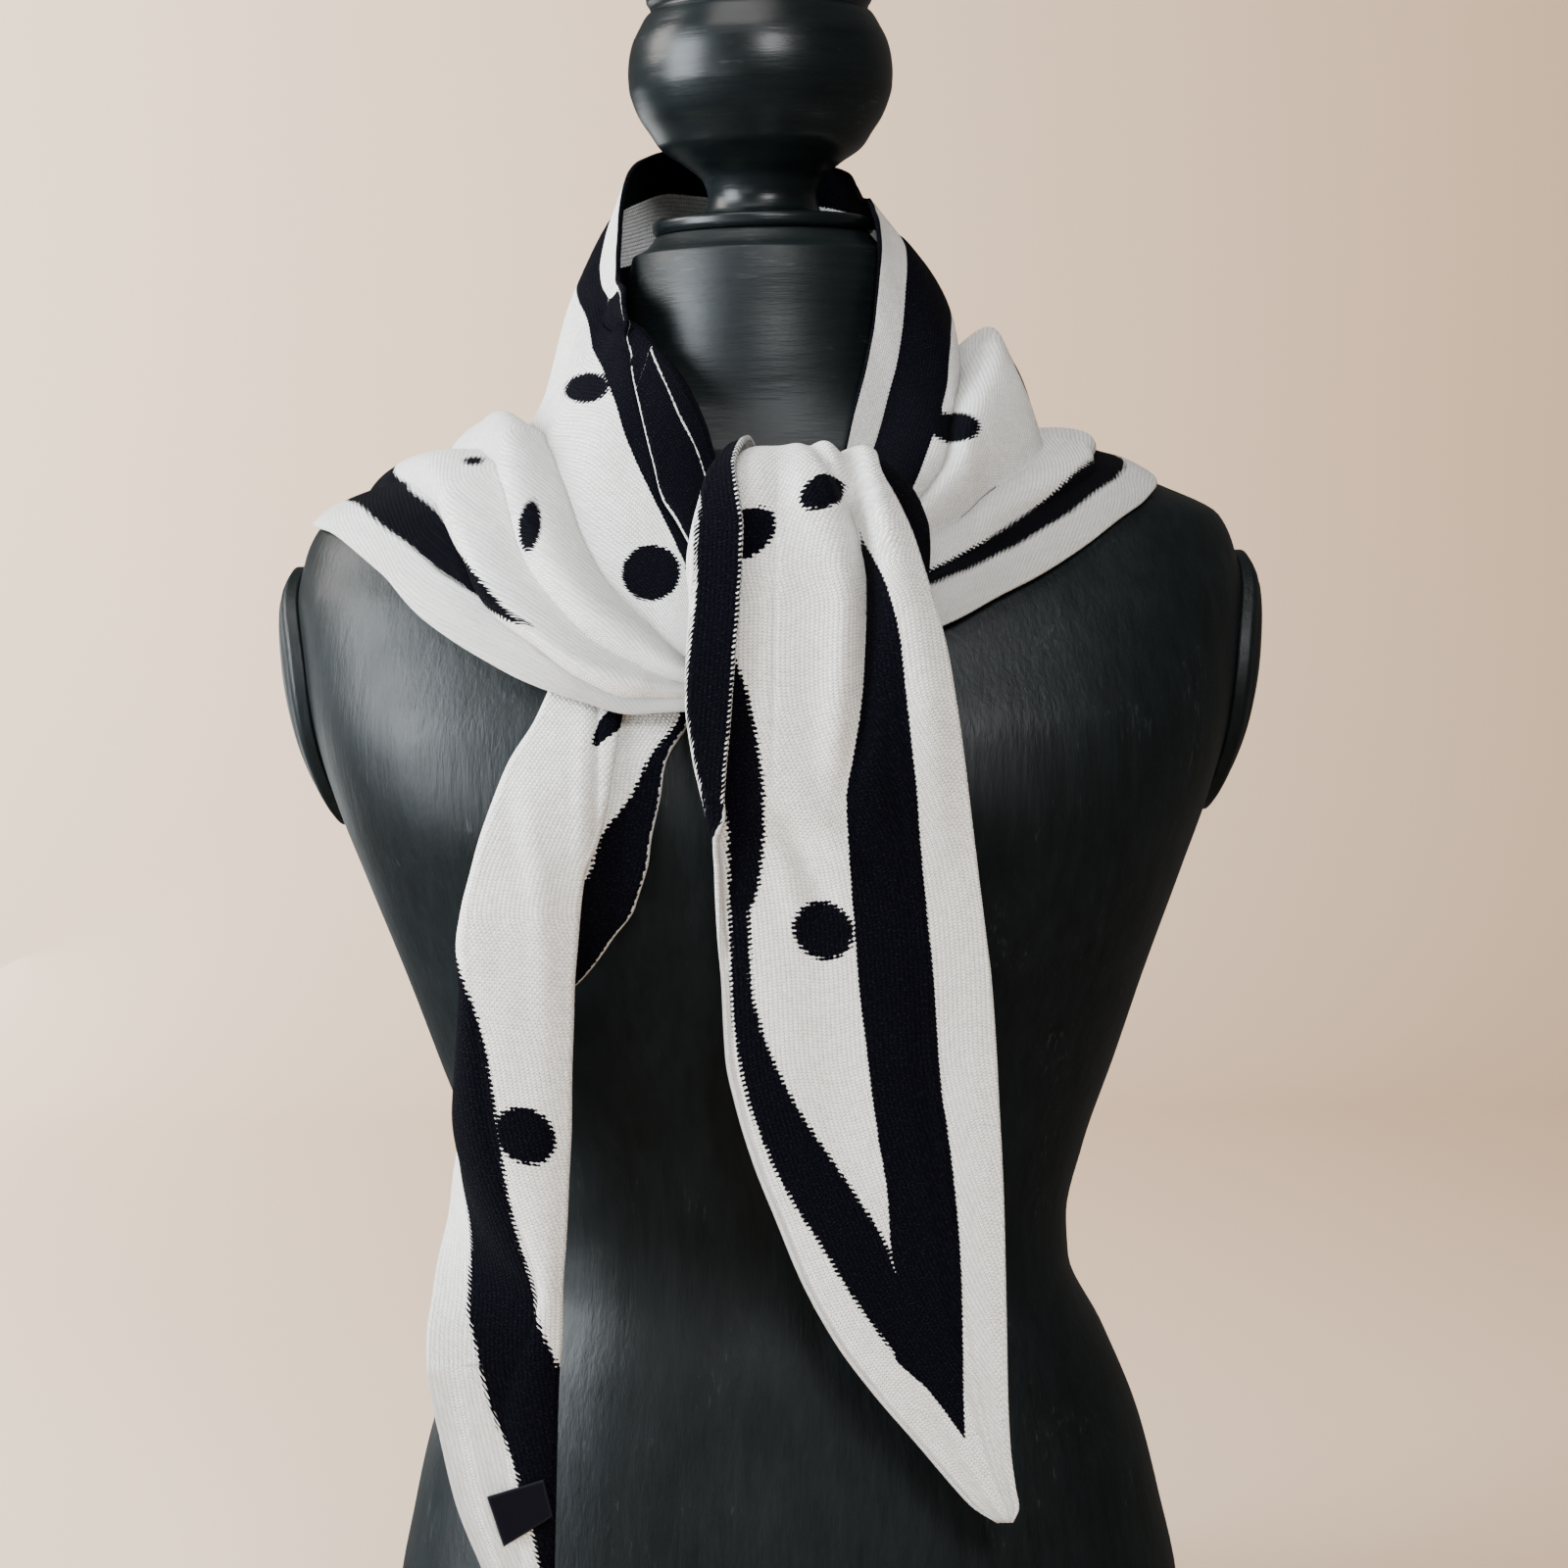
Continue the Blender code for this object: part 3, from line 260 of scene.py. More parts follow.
# How far along a section its creases and crests are rounded off.
SOFT_ROWS = (
    ("bearing", "reach"),
    (10, .0006), (60, .0009), (90, .0030), (130, .0050), (180, .0055), (230, .0040), (250, .0030),
    (294, .0022), (306, .0020), (318, .0016), (344, .0012),
)
SOFT_LIMIT = 0.35             # most of it over the distance to an end
# Stripes: along a section, how far the black stripe of the neck edge reaches below the turning
# line, how much of the strip above it is black on both sides, and how far the two sides of
# the hem's black stripe lie from the lower edge.
SHAWL_STRIPE_ROWS = (
    ("bearing", "neck_end", "dark_border", "hem_start", "hem_end"),
    (10, .0600, .0900, .0300, .0100),
    (18, .0575, .0900, .0300, .0120),
    (24, .0540, .0900, .0300, .0140),
    (30, .0476, .0900, .0280, .0180),
    (36, .0402, .0900, .0262, .0225),
    (38, .0374, .0840, .0262, .0268),
    (42, .0322, .0700, .0240, .0275),
    (48, .0244, .0420, .0218, .0315),
    (52, .0198, .0300, .0205, .0335),
    (56, .0154, .0220, .0196, .0345),
    (60, .0122, .0160, .0185, .0345),
    (66, .0096, .0080, .0160, .0342),
    (72, .0104, .0035, .0148, .0342),
    (80, .0135, .0015, .0160, .0390),
    (90, .0195, -.0020, .0175, .0440),
    (110, .0280, -.0020, .0208, .0530),
    (150, .0280, -.0020, .0208, .0530),
    (210, .0280, -.0020, .0208, .0530),
    (235, .0285, -.0020, .0208, .0500),
    (255, .0295, -.0020, .0185, .0400),
    (270, .0305, -.0020, .0160, .0340),
    (282, .0315, -.0020, .0148, .0310),
    (288, .0320, -.0020, .0146, .0295),
    (294, .0325, -.0020, .0143, .0284),
    (300, .0335, -.0020, .0142, .0273),
    (306, .0335, -.0020, .0150, .0251),
    (312, .0325, -.0020, .0150, .0243),
    (318, .0315, -.0020, .0150, .0238),
    (326, .0315, -.0020, .0168, .0241),
    (344, .0310, -.0020, .0170, .0242),
)
# Dots on the scarf round the shoulders: bearing and distance from the turning line.
SHAWL_DOTS = (
    (98, .0620), (284, .1060), (256, .0800), (230, .0600), (205, .0620),
    (170, .0560), (136, .0600), (118, .1080), (153, .1150), (187, .1180), (221, .1130),
    (137, .1720), (170, .1830), (204, .1740), (187, .2450), (152, .2350),
)
# Dots that the folds at the front pull out of round: bearing and distance as above, and the
# place and half sizes of the outline that each shows from in front.
FOLDED_DOTS = (
    (23.0, .0805, -.0452, .5157, .0114, .0107),
    (58.0, .0274, -.0716, .5896, .0096, .0062),
    (45.0, .0987, -.0924, .5348, .0042, .0100),
    (66.4, .1012, -.1183, .5608, .0042, .0019),
    (313.5, .0560, .0742, .5706, .0101, .0062),
)
FOLDED_REACH = 0.032          # how far one may reach across the cloth
FOLDED_TURN = 14.0            # and round it, in degrees
NECK_RIM = 0.0014             # width of the black rim along the neck edge
BLACK_OVERLAP = 0.0008        # how far the black of both sides runs over the turning line
FREE_LINE_SHIFT = 0.0001
# Light line on the strip: distance from the turning line.
PIPING_ROWS = (
    ("bearing", "distance"),
    (10, .0200), (17, .0190), (22, .0185), (27, .0150), (32, .0105), (37, .0060),
)
PIPING_END = 36.5             # bearing where it goes under the fold
EDGE_LINE = (40, 60)          # bearings between which a light line lies beside the black rim
EDGE_LINE_INSET = 0.0022

# ------ tail in front
SIDEWAYS = np.array((-1.0, 0.0, 0.0))
BACKWARD = np.array((0.0, 1.0, 0.0))
# Both tails, down their middle line: its place, the two sides of the panel, the length of the
# flap at its left edge, how far that is turned, in degrees, and how much the panel bulges.
# The front tail also has a furrow, its place and depth, and a roll by its right edge.  The
# left tail has the radius of its flap's bend and the length of a flap behind its right edge.
FRONT_TAIL_ROWS = (
    ("y", "z", "left", "right", "flap", "turn", "bulge", "gap_at", "gap", "roll"),
    (-.0860, .5400, -.0020, .0160, .0060, 170, .0010, .0100, .0000, .0000),
    (-.0885, .5500, -.0040, .0190, .0070, 172, .0015, .0130, .0010, .0010),
    (-.0945, .5570, -.0070, .0270, .0085, 175, .0025, .0200, .0030, .0020),
    (-.1045, .5600, -.0100, .0370, .0100, 178, .0040, .0270, .0060, .0035),
    (-.1160, .5590, -.0125, .0412, .0120, 180, .0055, .0300, .0090, .0050),
    (-.1270, .5515, -.0190, .0430, .0160, 180, .0060, .0320, .0105, .0055),
    (-.1345, .5415, -.0222, .0482, .0205, 180, .0060, .0335, .0110, .0055),
    (-.1390, .5300, -.0254, .0536, .0250, 180, .0055, .0350, .0105, .0050),
    (-.1420, .5180, -.0272, .0575, .0260, 180, .0050, .0362, .0095, .0045),
    (-.1440, .5040, -.0264, .0615, .0240, 180, .0050, .0368, .0080, .0040),
    (-.1455, .4880, -.0276, .0658, .0235, 180, .0045, .0358, .0060, .0035),
    (-.1460, .4690, -.0285, .0690, .0225, 180, .0040, .0340, .0045, .0030),
    (-.1450, .4470, -.0264, .0720, .0180, 180, .0040, .0305, .0028, .0020),
    (-.1430, .4302, -.0230, .0740, .0128, 178, .0035, .0280, .0010, .0010),
    (-.1410, .4170, -.0205, .0755, .0085, 150, .0030, .0280, .0003, .0005),
    (-.1392, .4020, -.0186, .0772, .0058, 90, .0030, .0280, .0000, .0000),
    (-.1370, .3800, -.0184, .0797, .0036, 30, .0030, .0280, .0000, .0000),
    (-.1345, .3600, -.0177, .0820, .0032, 0, .0028, .0280, .0000, .0000),
    (-.1310, .3310, -.0168, .0838, .0032, 0, .0025, .0280, .0000, .0000),
    (-.1295, .3120, -.0133, .0846, .0032, 0, .0022, .0280, .0000, .0000),
    (-.1285, .2885, -.0068, .0856, .0032, 0, .0020, .0280, .0000, .0000),
    (-.1280, .2660, .0016, .0862, .0032, 0, .0018, .0280, .0000, .0000),
    (-.1275, .2412, .0112, .0865, .0032, 0, .0015, .0280, .0000, .0000),
    (-.1270, .2172, .0238, .0867, .0032, 0, .0012, .0280, .0000, .0000),
    (-.1266, .1975, .0378, .0868, .0032, 0, .0010, .0280, .0000, .0000),
    (-.1262, .1762, .0550, .0875, .0032, 0, .0008, .0280, .0000, .0000),
    (-.1260, .1585, .0690, .0895, .0030, 0, .0005, .0280, .0000, .0000),
    (-.1259, .1510, .0755, .0907, .0026, 0, .0003, .0280, .0000, .0000),
    (-.1258, .1450, .0838, .0882, .0018, 0, .0000, .0280, .0000, .0000),
)
FRONT_TAIL_COUNTS = (26, 96)
FRONT_TAIL_STATIONS = 250
FLAP_RADIUS = 0.0026
FLAP_SETTLES = (150, 178)     # degrees of turn between which it comes to lie on the panel
FLAP_TURNED = 20              # degrees of turn from which it shows its other side
GAP_HALF_WIDTH = 0.0055
ROLL_HALF_WIDTH = 0.0100
ROLL_INSET = 0.0100
TIE_STATIONS = 40             # stations before the tail has come over the tie
TIE_FRONT = -.1000            # and the depth where it lies in front of it
TAIL_RELIEF = 0.00022
TAIL_RELIEF_SHIFT = 0.3       # along the waves, so that it differs from the shawl's
FLAP_LINE_TOP = 0.4300        # the light line of the flap's edge ends here
FLAP_LINE_FADE = 0.0100       # over this height
FLAP_RIM = 0.0003             # black rim of the flap above that
FLAP_INK_FLOOR = -0.004
# Stripes across the front tail by height: the left black stripe from left_start to left_end,
# the right one from right_start to right_end, and how much of the flap is its black border.
FRONT_STRIPE_ROWS = (
    ("z", "left_start", "left_end", "right_start", "right_end", "flap_black"),
    (.1400, .0820, .0700, .0820, .0700, .0200),
    (.1600, .0812, .0700, .0812, .0700, .0200),
    (.1810, .0684, .0700, .0684, .0700, .0200),
    (.1990, .0555, .0697, .0555, .0697, .0200),
    (.2136, .0428, .0697, .0428, .0697, .0200),
    (.2360, .0272, .0480, .0440, .0696, .0200),
    (.2550, .0162, .0414, .0422, .0690, .0200),
    (.2780, .0024, .0284, .0410, .0673, .0200),
    (.2970, -.0060, .0160, .0382, .0653, .0200),
    (.3190, -.0128, .0034, .0355, .0625, .0200),
    (.3430, -.0165, -.0058, .0330, .0610, .0200),
    (.3600, -.0172, -.0092, .0313, .0600, .0200),
    (.3855, -.0172, -.0095, .0298, .0578, .0200),
    (.3980, -.0172, -.0056, .0290, .0567, .0200),
    (.4200, -.0172, -.0033, .0278, .0551, .0090),
    (.4300, -.0190, -.0031, .0276, .0546, .0083),
    (.4500, -.0200, -.0046, .0309, .0527, .0132),
    (.4690, -.0210, -.0079, .0336, .0510, .0172),
    (.4800, -.0215, -.0114, .0347, .0500, .0176),
    (.4900, -.0215, -.0150, .0356, .0490, .0176),
    (.5100, -.0215, -.0160, .0367, .0445, .0168),
    (.5200, -.0215, -.0160, .0362, .0405, .0176),
    (.5300, -.0215, -.0160, .0356, .0363, .0180),
    (.5420, -.0200, -.0160, .0350, .0340, .0150),
    (.5600, -.0180, -.0160, .0340, .0320, .0150),
)
# Dots on a tail: place, and stretch across and along the cloth.
FRONT_DOTS = (
    (-.0088, .5300, 1.0, .86), (.0222, .5462, .75, .78), (.0182, .3803, 1.0, 1.0),
)
# Creases and dents pressed into a tail: x, z, direction in degrees from vertical, half
# length, half width and depth, where a hollow is positive.
FRONT_DENTS = (
    (.0018, .4900, 2, .0520, .0011, .0007),
    (.0120, .4050, -28, .0200, .0050, .0022),
    (.0190, .4200, -35, .0220, .0060, -.0016),
    (.0060, .3950, -15, .0160, .0050, -.0010),
    (.0060, .5450, 4, .0160, .0060, .0020),
    (-.0060, .5500, 2, .0150, .0050, -.0012),
    (.0172, .5590, -48, .0110, .0026, .0024),
    (.0280, .5440, -30, .0140, .0028, .0040),
    (.0345, .5260, -14, .0150, .0026, .0036),
    (.0205, .5300, -26, .0240, .0060, -.0014),
    (.0358, .4900, 2, .0340, .0022, .0024),
    (.0275, .4800, 5, .0420, .0065, -.0018),
    (.0150, .4700, -4, .0500, .0080, .0010),
    (.0700, .4300, -8, .0400, .0070, .0006),
    (.0200, .3300, -10, .0500, .0120, .0008),
)

# ------ tail at the left
LEFT_TAIL_ROWS = (
    ("z", "y", "left", "right", "flap", "turn", "bend", "bulge", "back_flap"),
    (.4785, -.1158, -.0800, -.0560, .0560, 180, .0016, .0002, .0080),
    (.4700, -.1190, -.0835, -.0580, .0590, 180, .0017, .0004, .0090),
    (.4600, -.1240, -.0880, -.0598, .0630, 180, .0019, .0008, .0100),
    (.4450, -.1305, -.0970, -.0626, .0650, 180, .0026, .0018, .0110),
    (.4300, -.1342, -.1032, -.0650, .0690, 180, .0028, .0022, .0120),
    (.4150, -.1352, -.1085, -.0690, .0714, 180, .0030, .0026, .0120),
    (.4030, -.1350, -.1118, -.0742, .0733, 180, .0032, .0028, .0120),
    (.3890, -.1342, -.1155, -.0764, .0728, 179, .0034, .0030, .0120),
    (.3760, -.1335, -.1172, -.0778, .0670, 176, .0040, .0030, .0120),
    (.3600, -.1325, -.1160, -.0795, .0580, 165, .0050, .0030, .0120),
    (.3450, -.1315, -.1150, -.0803, .0500, 142, .0072, .0030, .0120),
    (.3250, -.1305, -.1138, -.0815, .0470, 116, .0104, .0028, .0120),
    (.3030, -.1293, -.1110, -.0823, .0465, 96, .0150, .0025, .0120),
    (.2830, -.1282, -.1062, -.0838, .0465, 76, .0165, .0022, .0120),
    (.2627, -.1270, -.0995, -.0852, .0460, 54, .0180, .0018, .0120),
    (.2386, -.1258, -.0940, -.0874, .0440, 18, .0150, .0012, .0120),
    (.2225, -.1250, -.0980, -.0880, .0405, 6, .0200, .0010, .0120),
    (.2060, -.1243, -.1050, -.0896, .0332, 2, .0200, .0010, .0115),
    (.1860, -.1236, -.1090, -.0908, .0260, 0, .0200, .0010, .0110),
    (.1560, -.1226, -.1070, -.0922, .0218, 0, .0200, .0010, .0090),
    (.1290, -.1218, -.1030, -.0935, .0162, 0, .0200, .0008, .0070),
    (.1050, -.1212, -.0990, -.0945, .0105, 0, .0200, .0005, .0050),
    (.0860, -.1208, -.0965, -.0950, .0055, 0, .0200, .0002, .0035),
    (.0760, -.1206, -.0958, -.0950, .0028, 0, .0200, .0000, .0025),
)
LEFT_TAIL_COUNTS = (52, 34, 16)
LEFT_TAIL_STATIONS = 240
BACK_FLAP_TURN = 176
BACK_FLAP_BEND = 0.0016
# Stripe on the left tail by height: how far its two sides lie from the free left edge.
LEFT_STRIPE_ROWS = (
    ("z", "start", "end"),
    (.0700, .0200, .0700),
    (.1290, .0225, .0700),
    (.1430, .0256, .0700),
    (.1690, .0265, .0700),
    (.1910, .0228, .0600),
    (.2155, .0199, .0490),
    (.2360, .0150, .0425),
    (.2627, .0172, .0440),
    (.2830, .0178, .0478),
    (.3000, .0180, .0504),
    (.3250, .0180, .0515),
    (.3450, .0205, .0518),
    (.3620, .0235, .0565),
    (.3760, .0250, .0600),
    (.3900, .0250, .0600),
    (.4020, .0222, .0580),
    (.4170, .0195, .0540),
    (.4300, .0121, .0500),
    (.4450, .0072, .0460),
    (.4600, .0050, .0460),
    (.4800, .0045, .0460),
)
LEFT_DOTS = ((-.0978, .3012, 1.0, 1.0), (-.0492, .4600, .42, 1.1))
LEFT_DENTS = (
    (-.0672, .4330, 2, .0340, .0016, .0014),
    (-.0725, .4330, 2, .0340, .0032, -.0009),
    (-.0980, .4150, -8, .0380, .0050, .0010),
    (-.0900, .3900, -3, .0420, .0050, -.0010),
    (-.1050, .3800, 4, .0350, .0060, .0008),
    (-.0980, .3400, 3, .0400, .0070, .0007),
    (-.1150, .2100, -6, .0400, .0080, .0008),
)

# ------ loop beside the tie
LOOP_ROWS = (
    ("z", "right", "y", "curl"),
    (.5570, .0445, -.1120, .0065),
    (.5535, .0490, -.1152, .0095),
    (.5458, .0559, -.1177, .0125),
    (.5384, .0595, -.1187, .0145),
    (.5313, .0616, -.1192, .0150),
    (.5242, .0619, -.1197, .0150),
    (.5157, .0614, -.1202, .0145),
    (.5060, .0600, -.1207, .0122),
    (.4970, .0570, -.1214, .0100),
)
LOOP_LEFT = 0.0300
LOOP_GRID = (56, 30)

# ------ label
LABEL_CORNERS = ((-.1163, .1588), (-.0940, .1652), (-.0908, .1505), (-.1103, .1388))
LABEL_SPAN = (.1300, .1700)   # heights between which it lies on the tail
LABEL_GRID = (30, 20)
LABEL_WARP = 0.00042
LABEL_WEFT = 0.00036
LABEL_DARK = (0.002, 0.002, 0.004)
LABEL_LIGHT = (0.006, 0.006, 0.010)
LABEL_RIM = (0.011, 0.011, 0.015)
LABEL_HEM = (0.0004, 0.0011)  # distance from the rim where its shade starts and has gone

# ------ knit and colours
KNIT_NUMBERS = ("knit_u", "knit_v", "ink", "saw", "both", "line", "piping")
FAR_OFF = 0.0200              # of line and piping, where there is none
ONE_SIDED = -0.0100           # of both, where the two sides differ
ALL_BLACK = 0.0100            # of ink and both, where the whole piece is black
STRAIGHT_SAW = 0.25           # of saw, for an edge that runs along the stitches
DOT_SAW = 0.60
WALE = 0.00180                # width of a stitch
COURSE = 0.00130              # height of a stitch
STITCH_LEAN = 1.10            # how steeply a stitch's two legs rise, in courses a wale
TOOTH = 0.0020                # length of a saw tooth between two yarns
TOOTH_HEIGHT = 0.0018
UNEVEN = 0.0008               # how much a stitch's place differs by chance
INK_BLUR = 0.0002             # half the width over which one yarn turns into the other
BOTH_BLUR = 0.0003
LIGHT_LINE = (0.00060, 0.00090)  # half width where it is full and where it has gone
LIGHT_LINE_COVER = 0.85
PIPING_THINNING = 0.0003
RIM_DASH = 0.0011             # half the length of a dash on the cast-off edge
RIM_DASH_EDGE = (0.25, 0.45)
# Shade of the knit: its base; the painted shade of each stitch, darker at the sides of its legs and
# between its courses; and the random tone that the slow and fine unevenness and the chance of each
# stitch add to it.
BASE_SHADE = 0.48
STITCH_PAINTED_SHADE = 0.62
SLOW_SHADE = 0.18
GRAIN_SHADE = 0.55
CHANCE_SHADE = 0.14
FLECK = (0.04, 0.22)          # grain where a light fleck starts and is full
FLECK_COVER = 0.008
CREAM_YARN = (0.830, 0.828, 0.810)
BLACK_YARN = (0.0018, 0.0019, 0.0044)
# Stretch of the brush marks along the axes.
UPRIGHT_STROKES = (9.0, 9.0, 1.0)
LEVEL_STROKES = (0.8, 0.8, 8.0)
STROKES_BLEND = 0.004         # height over which one turns into the other
FORM_PAINT_DARK = (0.0016, 0.0030, 0.0033)
FORM_PAINT_LIGHT = (0.0064, 0.0102, 0.0122)
FORM_PAINT_SCRATCH = (0.050, 0.062, 0.068)
PAINT_TONE = (0.38, 0.78)     # strokes and clouds where the paint is dark and light
SCRATCH = (0.36, 0.46)        # where a scratch starts and is full
SCRATCH_COVER = 0.35
# Studio paper, painted light: lighter at the left where the window light falls, darker and warmer
# towards the right in painted shade.
BACKDROP_LIT_LEFT = (0.840, 0.690, 0.560)
BACKDROP_SHADED_RIGHT = (0.640, 0.455, 0.300)
BACKDROP_SHADE_FADE = 1.10          # half the width over which one turns into the other

# ------ stage and light
STAGE_FRONT = -3.20
STAGE_LEVEL_TO = -1.00
STAGE_WALL = 2.10
STAGE_TOP = 3.60
STAGE_HALF_WIDTH = 4.50
STAGE_CURVE = 0.60            # radius of the curve between floor and wall
# Soft lights: name, place, aim, size across and up, power in watts, colour.
LIGHTS = (
    ("window_left", (-1.95, -0.75, 1.00), (0.0, 0.0, 0.42), (1.10, 1.50), 134.0, (0.88, 0.95, 1.0)),
    ("window_front", (0.40, -2.10, 1.60), (0.0, 0.0, 0.45), (0.70, 0.60), 40.0, (0.97, 0.98, 1.0)),
    ("top_soft", (-0.30, -0.60, 1.90), (0.0, 0.05, 0.45), (1.00, 0.80), 16.0, (1.0, 0.97, 0.93)),
    ("low_front", (-1.10, -1.60, 0.42), (0.0, 0.0, 0.25), (0.70, 0.50), 4.0, (0.90, 0.96, 1.0)),
    ("low_flank", (-1.20, 1.50, 0.28), (0.0, 0.0, 0.18), (1.10, 0.60), 5.0, (0.94, 0.98, 1.0)),
    ("wall_wash", (-2.00, 0.50, 1.60), (-0.9, 2.10, 0.60), (1.40, 1.00), 74.0, (1.0, 0.95, 0.88)),
)
SKY_COLOUR = (1.0, 0.93, 0.84)
SKY_STRENGTH = 0.14


# ====== curves and tables
def monotone(x, knots, values):
    """Smooth curve through the knots that never overshoots them (Fritsch-Carlson cubic)."""
    knots = np.asarray(knots, float)
    values = np.asarray(values, float)
    step = np.diff(knots)
    slope = np.diff(values) / step
    rate = np.zeros_like(values)
    near = 2 * step[1:] + step[:-1]
    far = step[1:] + 2 * step[:-1]
    agree = slope[:-1] * slope[1:] > 0
    before = np.where(agree, slope[:-1], 1.0)
    after = np.where(agree, slope[1:], 1.0)
    rate[1:-1] = np.where(agree, (near + far) / (near / before + far / after), 0.0)
    rate[0] = slope[0]
    rate[-1] = slope[-1]
    x = np.asarray(x, float)
    i = np.clip(np.searchsorted(knots, x, side="right") - 1, 0, len(knots) - 2)
    t = np.clip((x - knots[i]) / step[i], 0.0, 1.0)
    start = (1 + 2 * t) * (1 - t) ** 2 * values[i] + t * (1 - t) ** 2 * step[i] * rate[i]
    end = t * t * (3 - 2 * t) * values[i + 1] + t * t * (t - 1) * step[i] * rate[i + 1]
    return start + end


def columns_at(table, at, *names):
    """Columns of a table, all of them or those named, read smoothly at values of its first."""
    head, *rows = table
    rows = np.array(rows)
    rows = rows[np.argsort(rows[:, 0])]
    return [monotone(at, rows[:, 0], rows[:, head.index(name)]) for name in names or head[1:]]


def ease(value, start, end):
    """Smooth step from 0 at start to 1 at end."""
    t = np.clip((value - start) / (end - start), 0.0, 1.0)
    return float(t * t * (3 - 2 * t))


def bell(distance, width):
    """A bell-shaped curve: exp(-(distance / width)^2)."""
    return np.exp(-(distance / width) ** 2)


def running(points):
    """Distance along a polyline at each of its points."""
    steps = np.linalg.norm(np.diff(points, axis=0), axis=1)
    return np.concatenate(([0.0], np.cumsum(steps)))


def between(run, values, at):
    """Values known at distances run along a line, at other distances."""
    return np.stack([np.interp(at, run, part) for part in values.T], axis=1)


def along(points, at):
    """Points of a polyline at the given distances along it."""
    return between(running(points), points, at)


def directions(points):
    """Unit direction of a polyline at each of its points."""
    flow = np.gradient(points, axis=0)
    return flow / np.linalg.norm(flow, axis=1)[:, None]


def form_radius(bearing, z):
    """Distance of the form's surface from its axis at a bearing and height.

    A section is |sin|^n / a^n + |cos|^n / b^n = 1 / r^n, with a the half width and b the
    depth to the front or the back.
    """
    z = np.clip(z, 0.0, NECK_TOP)
    side = np.abs(np.sin(np.radians(bearing)))
    ahead = np.cos(np.radians(bearing))
    half_width, front, back, power = columns_at(TORSO_ROWS, z)
    depth = np.where(ahead > 0, front, back)
    total = (side / half_width) ** power + (np.abs(ahead) / depth) ** power
    return total ** (-1 / power)


def form_side(y, z):
    """Half width of the form at a depth y and height z."""
    half_width, front, back, power = columns_at(TORSO_ROWS, z)
    depth = np.where(y < 0, front, back)
    return half_width * (1 - (np.abs(y) / depth) ** power) ** (1 / power)


def ring(bearing, radius, z):
    """Cylindrical place to x, y, z."""
    angle = np.radians(bearing)
    return np.stack(np.broadcast_arrays(-radius * np.sin(angle), -radius * np.cos(angle), z), -1)


def turned_strip(anchor, outward, across, length, degrees, radius, cells):
    """A strip that leaves an anchor point, bends by an arc and then runs straight.

    Goes from the free edge back to the anchor, which it leaves out.  It starts along
    outward, turns towards across, and its bend is an arc of the given radius.
    """
    bent = degrees > 3
    if bent:
        arc = min(radius * np.radians(degrees), BEND_LIMIT * length)
        inner = max(cells // 2, 2)
        distance = np.concatenate((
            np.linspace(length, arc, cells - inner + 1)[:-1],
            np.linspace(arc, 0, inner + 1)[:-1]))
    else:
        arc = 0.0
        distance = np.linspace(length, 0, cells + 1)[:-1]
    angle = np.minimum(distance, arc) / radius
    beyond = np.maximum(distance - arc, 0.0)
    points = anchor + outward * (radius * np.sin(angle))[:, None]
    points = points + across * (radius * (1 - np.cos(angle)))[:, None]
    end = arc / radius
    way = outward * np.cos(end) + across * np.sin(end)
    return points + way * beyond[:, None], beyond


def lay_flat(strip, cloth, beyond, settled):
    """A strip moved from its own place to the cloth, past its bend, as far as it is settled."""
    laid = np.where((beyond > 0)[:, None], cloth, strip)
    return strip * (1 - settled) + laid * settled


def drape_profile(bearing):
    """Section of the drape under its rolls, in (radius, z), from the turning line down.

    A cubic Bezier from the turning line to the place where the cloth rests on the shoulder,
    then the form's own outline moved out by the lift.
    """
    radius, top, lean = columns_at(COLLAR_ROWS, bearing, "radius", "z", "lean")
    edge, rest, lift = columns_at(DRAPE_ROWS, bearing, "edge", "rest", "lift")
    heights = np.linspace(rest + OUTLINE_OVER, min(edge, rest) - OUTLINE_UNDER, OUTLINE_POINTS)
    form = form_radius(bearing, heights)
    higher = form_radius(bearing, heights + SLOPE_STEP)
    lower = form_radius(bearing, heights - SLOPE_STEP)
    slope = (higher - lower) / (2 * SLOPE_STEP)
    length = np.sqrt(1 + slope ** 2)
    outline = np.stack((form + lift / length, heights - lift * slope / length), axis=1)
    start = int(np.argmin(np.abs(heights - rest)))
    landing = outline[start]
    upward = outline[start - 3] - outline[start + 3]
    upward = upward / np.linalg.norm(upward)
    fold = np.array((radius, top))
    rise = np.array((np.sin(np.radians(lean)), np.cos(np.radians(lean))))
    reach = np.linalg.norm(landing - fold)
    first = fold - rise * reach * COLLAR_FULLNESS
    second = landing + upward * reach * REST_FULLNESS
    t = np.linspace(0, 1, CURVE_POINTS)[:, None]
    collar = ((1 - t) ** 3 * fold + 3 * t * (1 - t) ** 2 * first
              + 3 * t * t * (1 - t) * second + t ** 3 * landing)
    return np.vstack((collar, outline[start + 1:])), rise


def roll_shape(t, crest, fullness):
    """Height of a roll across its width: a quarter sine up to the crest, then 1 - x^n down."""
    up = np.sin(0.5 * np.pi * np.clip(t / crest, 0, 1))
    down = 1 - np.clip((t - crest) / (1 - crest), 0, 1) ** fullness
    return np.where(t < crest, up, down) ** BUMP_POWER


def dot_depth(across, down, centres):
    """How deep each grid point lies inside the nearest dot, on the flat cloth.

    The distance to a dot's middle is the hypotenuse of the differences across and down the
    cloth, each divided by the dot's stretch that way.
    """
    nearest = np.full(across.shape, 1.0)
    for i, j, wide, tall in centres:
        side = across - across[i, j]
        ahead = down - down[i:i + 1, :]
        nearest = np.minimum(nearest, np.hypot(side / wide, ahead / tall))
    return DOT_RADIUS - nearest


def band(place, start, end):
    """How deep a place lies inside a stripe from start to end; below zero outside it."""
    return np.minimum(place - start, end - place)


